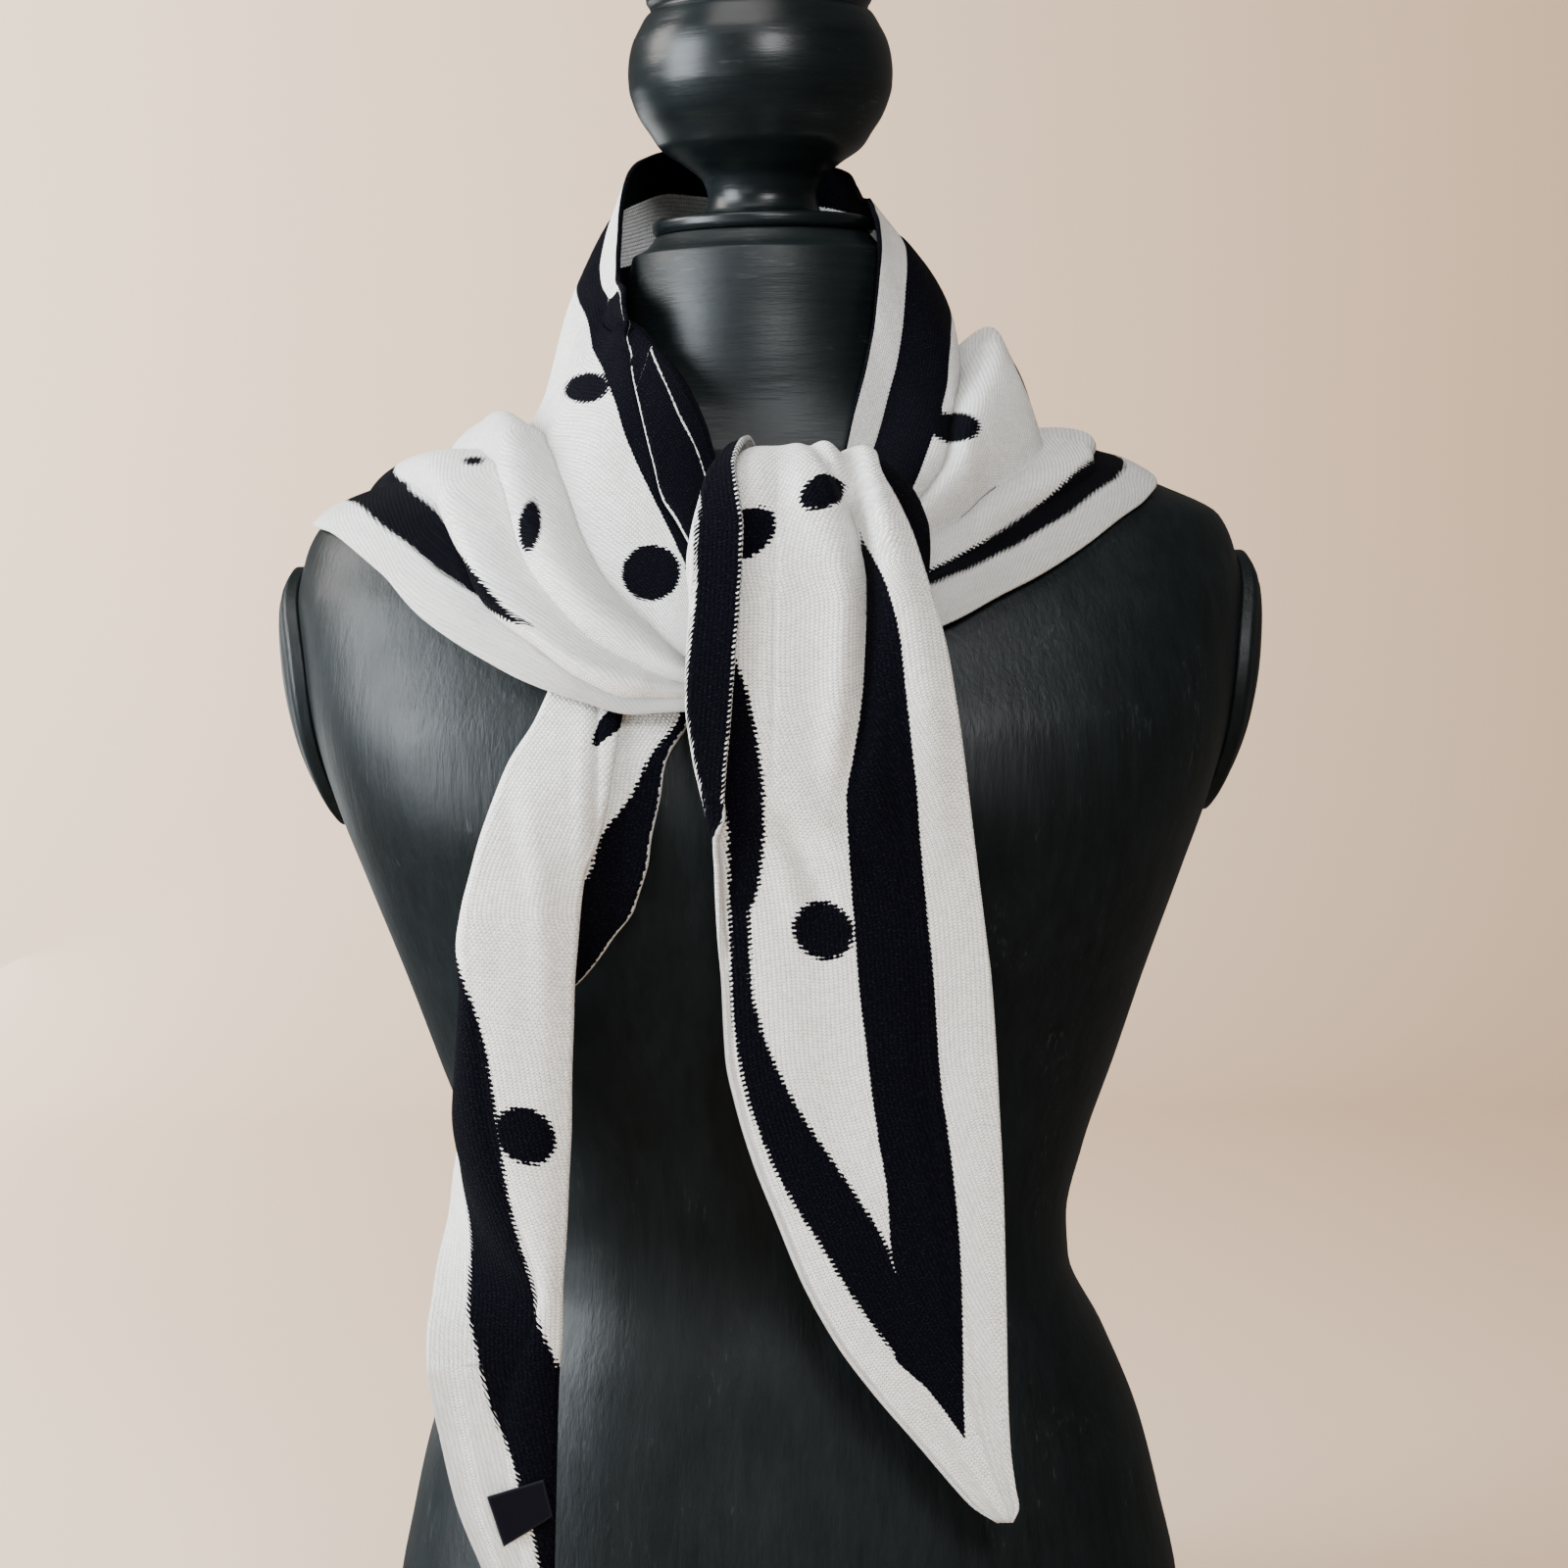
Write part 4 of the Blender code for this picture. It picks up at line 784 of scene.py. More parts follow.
def soften(points, reach):
    """A curve smoothed by a bell-shaped average along its length; its ends stay in place.

    The bell's half width is the given reach, and shrinks towards the ends.
    """
    run = running(points)
    span = np.minimum(run, run[-1] - run)
    width = np.minimum(reach, SOFT_LIMIT * span + 1e-6)
    weight = bell(run[None, :] - run[:, None], width[:, None]) * np.gradient(run)[None, :]
    return weight @ points / weight.sum(axis=1)[:, None]


def run_down(points):
    """Distance run along each row of the grid, from its first section."""
    steps = np.linalg.norm(np.diff(points, axis=0), axis=2)
    return np.vstack((np.zeros((1, points.shape[1])), np.cumsum(steps, axis=0)))


def run_across(points):
    """Distance run across each section of the grid, from its first point."""
    steps = np.linalg.norm(np.diff(points, axis=1), axis=2)
    return np.hstack((np.zeros((points.shape[0], 1)), np.cumsum(steps, axis=1)))


def soft_relief(u, v, size):
    """Gentle unevenness of knitted cloth: a sum of slow waves of unlike lengths."""
    return size * sum(share * np.sin(p * u + q * v + start) for share, p, q, start in RELIEF_WAVES)


def grid_normals(points):
    """Unit normal of a grid of points: the cross product of its two directions."""
    down = np.gradient(points, axis=0)
    over = np.gradient(points, axis=1)
    normal = np.cross(over, down)
    length = np.linalg.norm(normal, axis=2, keepdims=True)
    return normal / np.maximum(length, 1e-12)


def dent_depth(x, z, dents):
    """Sum of long bell-shaped hollows: exp(-(along/length)^4 - (across/width)^2) each."""
    total = np.zeros_like(x)
    for place_x, place_z, direction, half_length, half_width, depth in dents:
        turn = np.radians(direction)
        ahead = (x - place_x) * np.sin(turn) + (z - place_z) * np.cos(turn)
        side = (x - place_x) * np.cos(turn) - (z - place_z) * np.sin(turn)
        total += depth * np.exp(-(ahead / half_length) ** 4 - (side / half_width) ** 2)
    return total


def raised(points, relief):
    """A grid of points moved along its normals."""
    return points + grid_normals(points) * relief[..., None]


def knit_numbers(u, v, ink, saw=1.0, both=ONE_SIDED, line=FAR_OFF, piping=FAR_OFF):
    """The numbers that the knit materials read, each on every point of the grid."""
    values = (u, v, ink, saw, both, line, piping)
    return {name: np.broadcast_to(value, u.shape) for name, value in zip(KNIT_NUMBERS, values)}


# ====== scarf round the shoulders
def shawl_section(bearing):
    """One section of the scarf at a bearing, from the free neck edge to the lower edge."""
    profile, rise = drape_profile(bearing)
    run = running(profile)
    flow = directions(profile)
    creases = columns_at(DRAPE_ROWS, bearing, "crease_1", "crease_2", "crease_3", "edge")
    marks = [0.0]
    for height in creases:
        mark = np.interp(-height, -profile[:, 1], run)
        marks.append(max(mark, marks[-1] + CREASE_SPACE))
    roll = dict(zip(ROLL_ROWS[0][1:], columns_at(ROLL_ROWS, bearing)))
    stretches = []
    for k in range(4):
        width = marks[k + 1] - marks[k]
        t = np.linspace(0, 1, SHAWL_COUNTS[k + 1] + 1)
        if k < 3:
            t = t[:-1]
        place = marks[k] + t * width
        base = along(profile, place)
        way = between(run, flow, place)
        ends = along(profile, np.array((marks[k], marks[k + 1])))
        chord = ends[1] - ends[0]
        steady = roll.get(f"steady_{k + 1}", 0.0)
        way = way * (1 - steady) + chord / np.linalg.norm(chord) * steady
        way = way / np.linalg.norm(way, axis=1)[:, None]
        out = np.stack((-way[:, 1], way[:, 0]), axis=1)
        height = min(roll[f"height_{k + 1}"], ROLL_LIMIT * width)
        bump = roll_shape(t, roll.get(f"crest_{k + 1}", 0.5),
                          roll.get(f"full_{k + 1}", ROLL_FULLNESS))
        lean = roll.get(f"lean_{k + 1}", 0.0)
        stretches.append(base + out * (height * bump)[:, None] + way * (lean * bump)[:, None])
    reach, = columns_at(SOFT_ROWS, bearing)
    face = soften(np.vstack(stretches), reach)
    length, degrees = columns_at(COLLAR_ROWS, bearing, "strip", "turn")
    angle = np.radians(bearing)
    radial = np.array((-np.sin(angle), -np.cos(angle), 0.0))
    forward = np.array((np.cos(angle), -np.sin(angle), 0.0))
    upright = np.array((0.0, 0.0, 1.0))
    settled = ease(degrees, *COLLAR_SETTLES)
    swing = angle * (1 - settled) if bearing < 180 else 0.0
    outward = radial * rise[0] + upright * rise[1]
    across = ((radial * np.cos(swing) + forward * np.sin(swing)) * rise[1]
              - upright * rise[0])
    fold = radial * profile[0, 0] + upright * profile[0, 1]
    strip, beyond = turned_strip(fold, outward, across, length, degrees, TURN_RADIUS,
                                 SHAWL_COUNTS[0])
    under = along(face, beyond)
    way = between(running(face), directions(face), beyond)
    laid_r = under[:, 0] - way[:, 1] * 2 * TURN_RADIUS
    laid_z = under[:, 1] + way[:, 0] * 2 * TURN_RADIUS
    laid = radial * laid_r[:, None] + upright * laid_z[:, None]
    strip = lay_flat(strip, laid, beyond, settled)
    return np.vstack((strip, radial * face[:, :1] + upright * face[:, 1:]))


def shawl():
    """Points of the scarf round the shoulders and the knit numbers on them."""
    front, back, flank = (np.linspace(*span) for span in SHAWL_SPANS)
    bearings = np.concatenate((front[:-1], back[:-1], flank))
    points = np.array([shawl_section(bearing) for bearing in bearings])
    turning = SHAWL_COUNTS[0]
    across = run_across(points)
    from_turn = across - across[:, turning:turning + 1]
    from_hem = across[:, -1:] - across
    down = run_down(points)
    middle = int(np.argmin(np.abs(bearings - 180)))
    down = down - down[middle:middle + 1, :]
    relief = soft_relief(from_turn, down, SHAWL_RELIEF)
    free = np.clip(from_hem / HEM_FADE, 0, 1) * np.clip(from_turn / TURN_FADE, 0, 1)
    points = raised(points, relief * free)

    neck_end, dark_border, hem_start, hem_end = columns_at(SHAWL_STRIPE_ROWS, bearings[:, None])
    neck = band(from_turn, 0.0, neck_end)
    hem = band(from_hem, hem_start, hem_end)

    def grid_place(bearing, distance):
        i = int(np.argmin(np.abs(bearings - bearing)))
        j = turning + int(np.argmin(np.abs(from_turn[i, turning:] - distance)))
        return i, j

    centres = [(*grid_place(*dot), 1.0, 1.0) for dot in SHAWL_DOTS]
    dots = dot_depth(from_turn, down, centres)
    for bearing, distance, x, z, half_wide, half_tall in FOLDED_DOTS:
        i, j = grid_place(bearing, distance)
        close = ((np.abs(from_turn - from_turn[i, j]) < FOLDED_REACH)
                 & (np.abs(bearings - bearing) < FOLDED_TURN)[:, None])
        seen = np.hypot((points[..., 0] - x) / half_wide, (points[..., 2] - z) / half_tall)
        spot = np.where(close, (1 - seen) * min(half_wide, half_tall), -FAR_OFF)
        dots = np.maximum(dots, spot)
    ink = np.maximum(np.maximum(neck, hem), dots)
    saw = np.where(neck >= ink, STRAIGHT_SAW, np.where(hem >= ink, 1.0, DOT_SAW))
    both = np.minimum(from_turn + dark_border, BLACK_OVERLAP - from_turn)
    both = np.maximum(both, NECK_RIM - across)
    turned = from_turn <= 0
    first, last = EDGE_LINE
    distance, = columns_at(PIPING_ROWS, bearings[:, None])
    on_fold = turned & (bearings < PIPING_END)[:, None]
    beside_rim = turned & ((bearings > first) & (bearings < last))[:, None]
    piping = np.where(on_fold, from_turn + distance, 3 * FAR_OFF)
    piping = np.where(beside_rim, across - EDGE_LINE_INSET, piping)
    line = np.where((bearings > first)[:, None], FAR_OFF, across - FREE_LINE_SHIFT)
    return points, knit_numbers(from_turn, down, ink, saw, both, line, piping)


# ====== tails
def stations_along(table, count):
    """A tail's columns at even steps of its middle line, which the first two columns give."""
    head, *rows = table
    rows = np.array(rows)
    run = running(rows[:, :2])
    steps = np.linspace(0, run[-1], count)
    return {name: monotone(steps, run, rows[:, i]) for i, name in enumerate(head)}


def panel_places(row, k, cells):
    """Places in x across a tail's panel at a station, and how far it bulges at each."""
    t = np.linspace(0, 1, cells + 1)
    left, right = row["left"][k], row["right"][k]
    return left + t * (right - left), row["bulge"][k] * (1 - (2 * t - 1) ** 2)


def dot_centres(points, dots, hidden):
    """Grid place of each dot: the point nearest to it in x and z, but for the hidden ones."""
    centres = []
    for x, z, *stretch in dots:
        far = np.hypot(points[..., 0] - x, points[..., 2] - z) + hidden
        i, j = np.unravel_index(int(np.argmin(far)), far.shape)
        centres.append((i, j, *stretch))
    return centres


def front_tail():
    """Sections across the front tail, followed along its middle line, and its knit."""
    row = stations_along(FRONT_TAIL_ROWS, FRONT_TAIL_STATIONS)
    line = np.stack((row["y"], row["z"]), axis=1)
    way = directions(line)
    out = np.stack((np.zeros(len(line)), way[:, 1], -way[:, 0]), axis=1)
    flap_cells, panel_cells = FRONT_TAIL_COUNTS
    grid = []
    for k in range(FRONT_TAIL_STATIONS):
        x, swell = panel_places(row, k, panel_cells)
        furrow = row["gap"][k] * bell(x - row["gap_at"][k], GAP_HALF_WIDTH)
        crest = row["right"][k] - ROLL_INSET
        roll = row["roll"][k] * bell(x - crest, ROLL_HALF_WIDTH)
        dents = dent_depth(x, np.full_like(x, line[k, 1]), FRONT_DENTS)
        centre = np.array((0.0, line[k, 0], line[k, 1]))
        panel = centre + out[k] * (swell - furrow + roll - dents)[:, None]
        panel[:, 0] = x
        strip, beyond = turned_strip(panel[0], SIDEWAYS, out[k], row["flap"][k],
                                     row["turn"][k], FLAP_RADIUS, flap_cells)
        laid = along(panel, beyond) + out[k] * 2 * FLAP_RADIUS
        strip = lay_flat(strip, laid, beyond, ease(row["turn"][k], *FLAP_SETTLES))
        grid.append(np.vstack((strip, panel)))
    points = np.array(grid)
    across = run_across(points)
    down = run_down(points)
    relief = soft_relief(across + TAIL_RELIEF_SHIFT, down, TAIL_RELIEF)
    points = raised(points, relief)

    z = row["z"][:, None]
    left_start, left_end, right_start, right_end, flap_black = columns_at(FRONT_STRIPE_ROWS, z)
    x = points[..., 0]
    left_stripe = band(x, left_start, left_end)
    right_stripe = band(x, right_start, right_end)
    on_flap = np.arange(points.shape[1])[None, :] < flap_cells
    turned = on_flap & (row["turn"][:, None] > FLAP_TURNED)
    flap = np.maximum(across - flap_black, FLAP_INK_FLOOR)
    behind_tie = (np.arange(len(z))[:, None] < TIE_STATIONS) & (points[..., 1] > TIE_FRONT)
    centres = dot_centres(points, FRONT_DOTS, on_flap + 1.0 * behind_tie)
    dots = dot_depth(across, down, centres)
    ink = np.where(turned, flap, np.maximum(np.maximum(left_stripe, right_stripe), dots))
    saw = np.where(right_stripe >= ink, STRAIGHT_SAW, 1.0)
    plain = np.clip((z - FLAP_LINE_TOP) / FLAP_LINE_FADE, 0, 1)
    ink = np.where(turned & (plain > 0), np.maximum(ink, FLAP_RIM - across), ink)
    edge = np.minimum(across + 0.5 * FAR_OFF * plain, across[:, -1:] - across)
    return points, knit_numbers(across, down, ink, saw, line=edge)


def left_tail():
    """Sections across the left tail, its left part and right edge folded behind."""
    row = stations_along(LEFT_TAIL_ROWS, LEFT_TAIL_STATIONS)
    flap_cells, panel_cells, back_cells = LEFT_TAIL_COUNTS
    grid = []
    for k in range(LEFT_TAIL_STATIONS):
        x, swell = panel_places(row, k, panel_cells)
        dents = dent_depth(x, np.full_like(x, row["z"][k]), LEFT_DENTS)
        panel = np.stack((x, row["y"][k] - swell + dents, np.full_like(x, row["z"][k])), axis=1)
        strip, _ = turned_strip(panel[0], SIDEWAYS, BACKWARD, row["flap"][k],
                                row["turn"][k], row["bend"][k], flap_cells)
        back, _ = turned_strip(panel[-1], -SIDEWAYS, BACKWARD, row["back_flap"][k],
                               BACK_FLAP_TURN, BACK_FLAP_BEND, back_cells)
        grid.append(np.vstack((strip, panel, back[::-1])))
    points = np.array(grid)
    across = run_across(points)
    down = run_down(points)
    stripe = band(across, *columns_at(LEFT_STRIPE_ROWS, row["z"][:, None]))
    off_panel = np.ones(points.shape[1])
    off_panel[flap_cells:flap_cells + panel_cells + 1] = 0
    dots = dot_depth(across, down, dot_centres(points, LEFT_DOTS, off_panel))
    ink = np.maximum(stripe, dots)
    edge = np.minimum(across, across[:, -1:] - across)
    return points, knit_numbers(across, down, ink, line=edge)


def knot_loop():
    """The black strip beside the tie: its right side curls back by a cube law."""
    rows, cells = LOOP_GRID
    heights = np.linspace(LOOP_ROWS[1][0], LOOP_ROWS[-1][0], rows)[:, None]
    right, depth, curl = columns_at(LOOP_ROWS, heights)
    t = np.linspace(0, 1, cells + 1)[None, :]
    x = LOOP_LEFT + t * (right - LOOP_LEFT)
    points = np.stack(np.broadcast_arrays(x, depth + curl * t ** 3, heights), axis=-1)
    return points, knit_numbers(run_across(points), run_down(points), ALL_BLACK, saw=0.0,
                                both=ALL_BLACK)


def label_patch(tail):
    """Four-cornered patch in front of the left tail; its ink is the distance from its rim."""
    u = np.linspace(0, 1, LABEL_GRID[0] + 1)[:, None, None]
    v = np.linspace(0, 1, LABEL_GRID[1] + 1)[None, :, None]
    a, b, c, d = (np.array(corner) for corner in LABEL_CORNERS)
    flat = (1 - v) * ((1 - u) * a + u * b) + v * ((1 - u) * d + u * c)
    spots = tail.reshape(-1, 3)
    low, high = LABEL_SPAN
    near = spots[(spots[:, 2] > low) & (spots[:, 2] < high)]
    gap = SEAM + (CLOTH_WALL + LABEL_WALL) / 2
    y = np.full(flat.shape[:2], near[:, 1].min() - gap)
    points = np.stack((flat[..., 0], y, flat[..., 1]), axis=-1)
    across = run_across(points)
    down = run_down(points)
    rim = np.minimum(np.minimum(across, across[:, -1:] - across),
                     np.minimum(down, down[-1:, :] - down))
    return points, dict(knit_u=across, knit_v=down, ink=rim)


# ====== dress form
def torso_surface():
    """Sections of the torso and neck, with a fine groove where the neck is set on."""
    rows, cells = TORSO_GRID
    chest, neck = TORSO_BREAKS
    heights = np.concatenate((
        np.linspace(0, chest, rows // 2)[:-1], np.linspace(chest, neck, rows // 3)[:-1],
        np.linspace(neck, NECK_TOP, rows - rows // 2 - rows // 3)))
    bearings = np.linspace(0, 360, cells, endpoint=False)
    radius = form_radius(bearings[None, :], heights[:, None])
    groove = NECK_GROOVE * bell(heights - NECK_SEAM_Z, NECK_GROOVE_HALF_WIDTH)
    base = BASE_ROUNDING * np.exp(-heights / BASE_ROUNDING_HEIGHT)
    radius = radius - groove[:, None] - base[:, None]
    return ring(bearings[None, :], radius, heights[:, None])


def finial_surface():
    """The finial's outline, run round smoothly and turned about the Z axis."""
    rows, cells = FINIAL_GRID
    outline = np.array(FINIAL_OUTLINE)
    run = running(outline)
    place = np.linspace(0, run[-1], rows)
    radius = np.maximum(monotone(place, run, outline[:, 0]), 0.0)
    height = monotone(place, run, outline[:, 1])
    bearings = np.linspace(0, 360, cells, endpoint=False)
    return ring(bearings[None, :], radius[:, None], height[:, None])


def plate_surface(side):
    """Outer skin of an armhole plate on a polar grid: a shallow dome with a rolled rim."""
    rings, spokes = PLATE_GRID
    level = rings - len(PLATE_RIM)
    reach = np.concatenate((np.linspace(PLATE_HUB, 1, level), np.ones(len(PLATE_RIM))))[:, None]
    sink = np.concatenate((np.zeros(level), PLATE_RIM))[:, None]
    angle = np.linspace(0, 2 * np.pi, spokes, endpoint=False)[None, :]
    y = PLATE_CENTRE_Y + PLATE_HALF_DEPTH * reach * np.cos(angle)
    z = PLATE_CENTRE_Z + PLATE_HALF_HEIGHT * reach * np.sin(angle)
    inner = form_side(y, z) + 2 * SEAM
    dome = PLATE_RISE * np.sqrt(1 - PLATE_DOME_SHARE * reach ** 2)
    groove = PLATE_GROOVE * bell(reach - PLATE_GROOVE_AT, PLATE_GROOVE_HALF_WIDTH)
    outer = inner + (PLATE_EDGE + dome - groove) * (1 - sink)
    return np.stack((side * outer, y, z), axis=-1)


# ====== meshes
def grid_object(name, points, numbers=(), closed_round=False, caps=False):
    """Object of a grid of points, with its knit numbers as attributes on the points.

    A face looks to the side from which the next section lies to the right of the next point.
    """
    rows, cols = points.shape[:2]
    index = np.arange(rows * cols).reshape(rows, cols)
    if closed_round:
        index = np.concatenate((index, index[:, :1]), axis=1)
    quads = np.stack((index[:-1, :-1], index[1:, :-1], index[1:, 1:], index[:-1, 1:]), axis=-1)
    faces = quads.reshape(-1, 4).tolist()
    if caps:
        faces.append(index[0, :cols].tolist())
        faces.append(index[-1, :cols][::-1].tolist())
    mesh = bpy.data.meshes.new(name)
    mesh.from_pydata(points.reshape(-1, 3).tolist(), [], faces)
    for key in numbers:
        layer = mesh.attributes.new(key, "FLOAT", "POINT")
        layer.data.foreach_set("value", np.ascontiguousarray(numbers[key], np.float32).ravel())
    mesh.shade_smooth()
    mesh.update()
    made = bpy.data.objects.new(name, mesh)
    bpy.context.scene.collection.objects.link(made)
    return made


def add_wall(piece, thickness, back=0, rim=0):
    """Give a sheet its thickness, half to each side, and its back and rim their materials."""
    wall = piece.modifiers.new("wall", "SOLIDIFY")
    wall.thickness = thickness
    wall.offset = 0.0
    wall.material_offset = back
    wall.material_offset_rim = rim


# ====== materials
class Wire:
    """What a node of a material gives out.  Arithmetic on it lays Math nodes."""

    def __init__(self, tree, socket):
        self.tree = tree
        self.socket = socket

    def math(self, operation, *others):
        return math_node(self.tree, operation, self, *others)

    def __add__(self, other):
        return self.math("ADD", other)

    def __sub__(self, other):
        return self.math("SUBTRACT", other)

    def __rsub__(self, other):
        return math_node(self.tree, "SUBTRACT", other, self)

    def __mul__(self, other):
        return self.math("MULTIPLY", other)

    def __truediv__(self, other):
        return self.math("DIVIDE", other)

    def __abs__(self):
        return self.math("ABSOLUTE")


def feed(socket, value):
    """Set a socket to a number or colour, or run a wire to it."""
    if isinstance(value, Wire):
        value.tree.links.new(value.socket, socket)
    else:
        socket.default_value = value


def math_node(tree, operation, *values):
    made = tree.nodes.new("ShaderNodeMath")
    made.operation = operation
    for socket, value in zip(made.inputs, values):
        feed(socket, value)
    return Wire(tree, made.outputs[0])


def feed_all(node, sockets):
    """Feed a node's sockets by name, each written with _ for a space."""
    for name, value in sockets.items():
        feed(node.inputs[name.replace("_", " ")], value)


def lay(tree, kind, output=0, **sockets):
    """Lay a node, feed its sockets and give out one of its outputs."""
    made = tree.nodes.new(kind)
    feed_all(made, sockets)
    return Wire(tree, made.outputs[output])


def fresh_material(name):
    made = bpy.data.materials.new(name)
    made.use_nodes = True
    return made, made.node_tree, made.node_tree.nodes["Principled BSDF"]


def blend_colours(tree, amount, first, second, how="MIX"):
    made = tree.nodes.new("ShaderNodeMix")
    made.data_type = "RGBA"
    made.blend_type = how
    feed(made.inputs[0], amount)
    for socket, colour in ((made.inputs[6], first), (made.inputs[7], second)):
        feed(socket, (*colour, 1.0) if isinstance(colour, tuple) else colour)
    return Wire(tree, made.outputs[2])


def number_on_cloth(tree, name):
    made = tree.nodes.new("ShaderNodeAttribute")
    made.attribute_name = name
    return Wire(tree, made.outputs["Fac"])


def noise(vector, scale, detail, roughness):
    return lay(vector.tree, "ShaderNodeTexNoise", Vector=vector, Scale=scale, Detail=detail,
               Roughness=roughness)


def step_over(value, low, high):
    """0 below low, 1 above high and straight between."""
    return lay(value.tree, "ShaderNodeMapRange", Value=value, From_Min=low, From_Max=high)


def knit_material(name, ground, figure, rim=False):
    """Fine two-coloured knit: V-shaped stitches with saw-toothed edges between the yarns.

    ground is the yarn of the border and the field, figure that of the stripes and the dots.
    On a rim the two yarns take turns.
    """
    made, tree, shader = fresh_material(name)
    u, v, ink, saw, both, line, piping = (number_on_cloth(tree, key) for key in KNIT_NUMBERS)
    line = line.math("MINIMUM", abs(piping) + PIPING_THINNING)

    # One stitch: two legs that rise from its middle, each course rounded.
    off_middle = abs((u / WALE).math("FRACT") - 0.5)
    course = (v / COURSE + off_middle * STITCH_LEAN).math("FRACT")
    leg = 1.0 - (off_middle * 2.0).math("POWER", 2.0) * 0.60
    stitch = leg * ((course * float(np.pi)).math("SINE") * 0.70 + 0.30)
    cell = tree.nodes.new("ShaderNodeTexWhiteNoise")
    cell.noise_dimensions = "2D"
    feed(cell.inputs["Vector"], lay(tree, "ShaderNodeCombineXYZ", X=(u / WALE).math("FLOOR"),
                                    Y=(v / COURSE).math("FLOOR")))
    chance = Wire(tree, cell.outputs["Value"]) - 0.5
    uneven = chance * UNEVEN

    # Which yarn lies on top.
    if rim:
        dash = (v / RIM_DASH).math("PINGPONG", 1.0)
        yarn = blend_colours(tree, step_over(dash, *RIM_DASH_EDGE), BLACK_YARN, CREAM_YARN)
    else:
        tooth = (v / (TOOTH / 2)).math("PINGPONG", 1.0)
        tooth = tooth + (u / (TOOTH / 2)).math("PINGPONG", 1.0) * 0.5 - 0.75
        shift = (tooth * TOOTH_HEIGHT + uneven) * saw
        yarn = blend_colours(tree, step_over(ink + shift, -INK_BLUR, INK_BLUR), ground, figure)
    yarn = blend_colours(tree, step_over(both, 0.0, BOTH_BLUR), yarn, BLACK_YARN)
    light_line = 1.0 - step_over(line + uneven, *LIGHT_LINE)
    yarn = blend_colours(tree, light_line * LIGHT_LINE_COVER, yarn, CREAM_YARN)

    # Painted shade of the stitches, darker at the sides of their legs and between the courses, and
    # unevenness of tone from the whole cloth down to its fibres.
    flat_cloth = lay(tree, "ShaderNodeCombineXYZ", X=u, Y=v)
    slow = noise(flat_cloth, scale=60.0, detail=3.0, roughness=0.6) - 0.5
    grain = noise(flat_cloth, scale=1100.0, detail=2.0, roughness=0.6) - 0.5
    fibre = noise(flat_cloth, scale=2600.0, detail=2.0, roughness=0.6)
    # The stitch's share here is painted shade; the slow, grain and chance shares are random tone of
    # the yarn.
    shade = stitch * STITCH_PAINTED_SHADE + BASE_SHADE + slow * SLOW_SHADE
    shade = shade + grain * GRAIN_SHADE + chance * CHANCE_SHADE
    grey = lay(tree, "ShaderNodeCombineXYZ", X=shade, Y=shade, Z=shade)
    colour = blend_colours(tree, 1.0, yarn, grey, "MULTIPLY")
    fleck = step_over(grain, *FLECK)
    colour = blend_colours(tree, fleck * FLECK_COVER, colour, CREAM_YARN)
    bump = lay(tree, "ShaderNodeBump", Strength=0.8, Distance=0.0006,
               Height=stitch + fibre * 0.30)
    feed_all(shader, dict(Base_Color=colour, Roughness=0.95, Specular_IOR_Level=0.03,
                          Sheen_Weight=0.010, Sheen_Roughness=0.45, Normal=bump))
    return made


def paint_material(name, stretch, gloss, relief, level_above=None):
    """Hand-brushed gloss paint: fine strokes along one axis over cloudy dark green-grey.

    Above the height level_above the strokes run round the form, not up it.
    """
    made, tree, shader = fresh_material(name)
    place = lay(tree, "ShaderNodeTexCoord", "Object")
    drawn = lay(tree, "ShaderNodeMapping", Vector=place, Scale=stretch)
    if level_above is not None:
        level = lay(tree, "ShaderNodeMapping", Vector=place, Scale=LEVEL_STROKES)
        z = lay(tree, "ShaderNodeSeparateXYZ", "Z", Vector=place)
        higher = step_over(z, level_above, level_above + STROKES_BLEND)
        drawn = blend_colours(tree, higher, drawn, level)
    strokes = noise(drawn, scale=20.0, detail=5.0, roughness=0.62)
    fine = noise(drawn, scale=75.0, detail=4.0, roughness=0.65)
    clouds = noise(place, scale=11.0, detail=3.0, roughness=0.55)
    patch = noise(place, scale=34.0, detail=4.0, roughness=0.62)
    tone = step_over(strokes * 0.55 + clouds * 0.55, *PAINT_TONE)
    colour = blend_colours(tree, tone, FORM_PAINT_DARK, FORM_PAINT_LIGHT)
    scratch = step_over(fine * patch, *SCRATCH)
    colour = blend_colours(tree, scratch * SCRATCH_COVER, colour, FORM_PAINT_SCRATCH)
    bump = lay(tree, "ShaderNodeBump", Strength=0.45, Distance=relief,
               Height=strokes * 0.7 + fine * 0.35 + patch * 0.45)
    feed_all(shader, dict(Base_Color=colour, Roughness=patch * 0.22 + gloss,
                          Specular_IOR_Level=0.27, Normal=bump))
    return made


def label_material():
    """Close woven satin label, left bare, with a fine weave and a folded rim."""
    made, tree, shader = fresh_material("label_satin")
    u, v, rim = (number_on_cloth(tree, key) for key in ("knit_u", "knit_v", "ink"))
    warp = (u * (2 * np.pi / LABEL_WARP)).math("SINE")
    weft = (v * (2 * np.pi / LABEL_WEFT)).math("SINE")
    weave = warp * weft
    colour = blend_colours(tree, weave * 0.18 + 0.45, LABEL_DARK, LABEL_LIGHT)
    colour = blend_colours(tree, 1.0 - step_over(rim, *LABEL_HEM), colour, LABEL_RIM)
    bump = lay(tree, "ShaderNodeBump", Strength=0.5, Distance=0.00015, Height=weave)
    feed_all(shader, dict(Base_Color=colour, Roughness=0.80, Specular_IOR_Level=0.04,
                          Normal=bump))
    return made


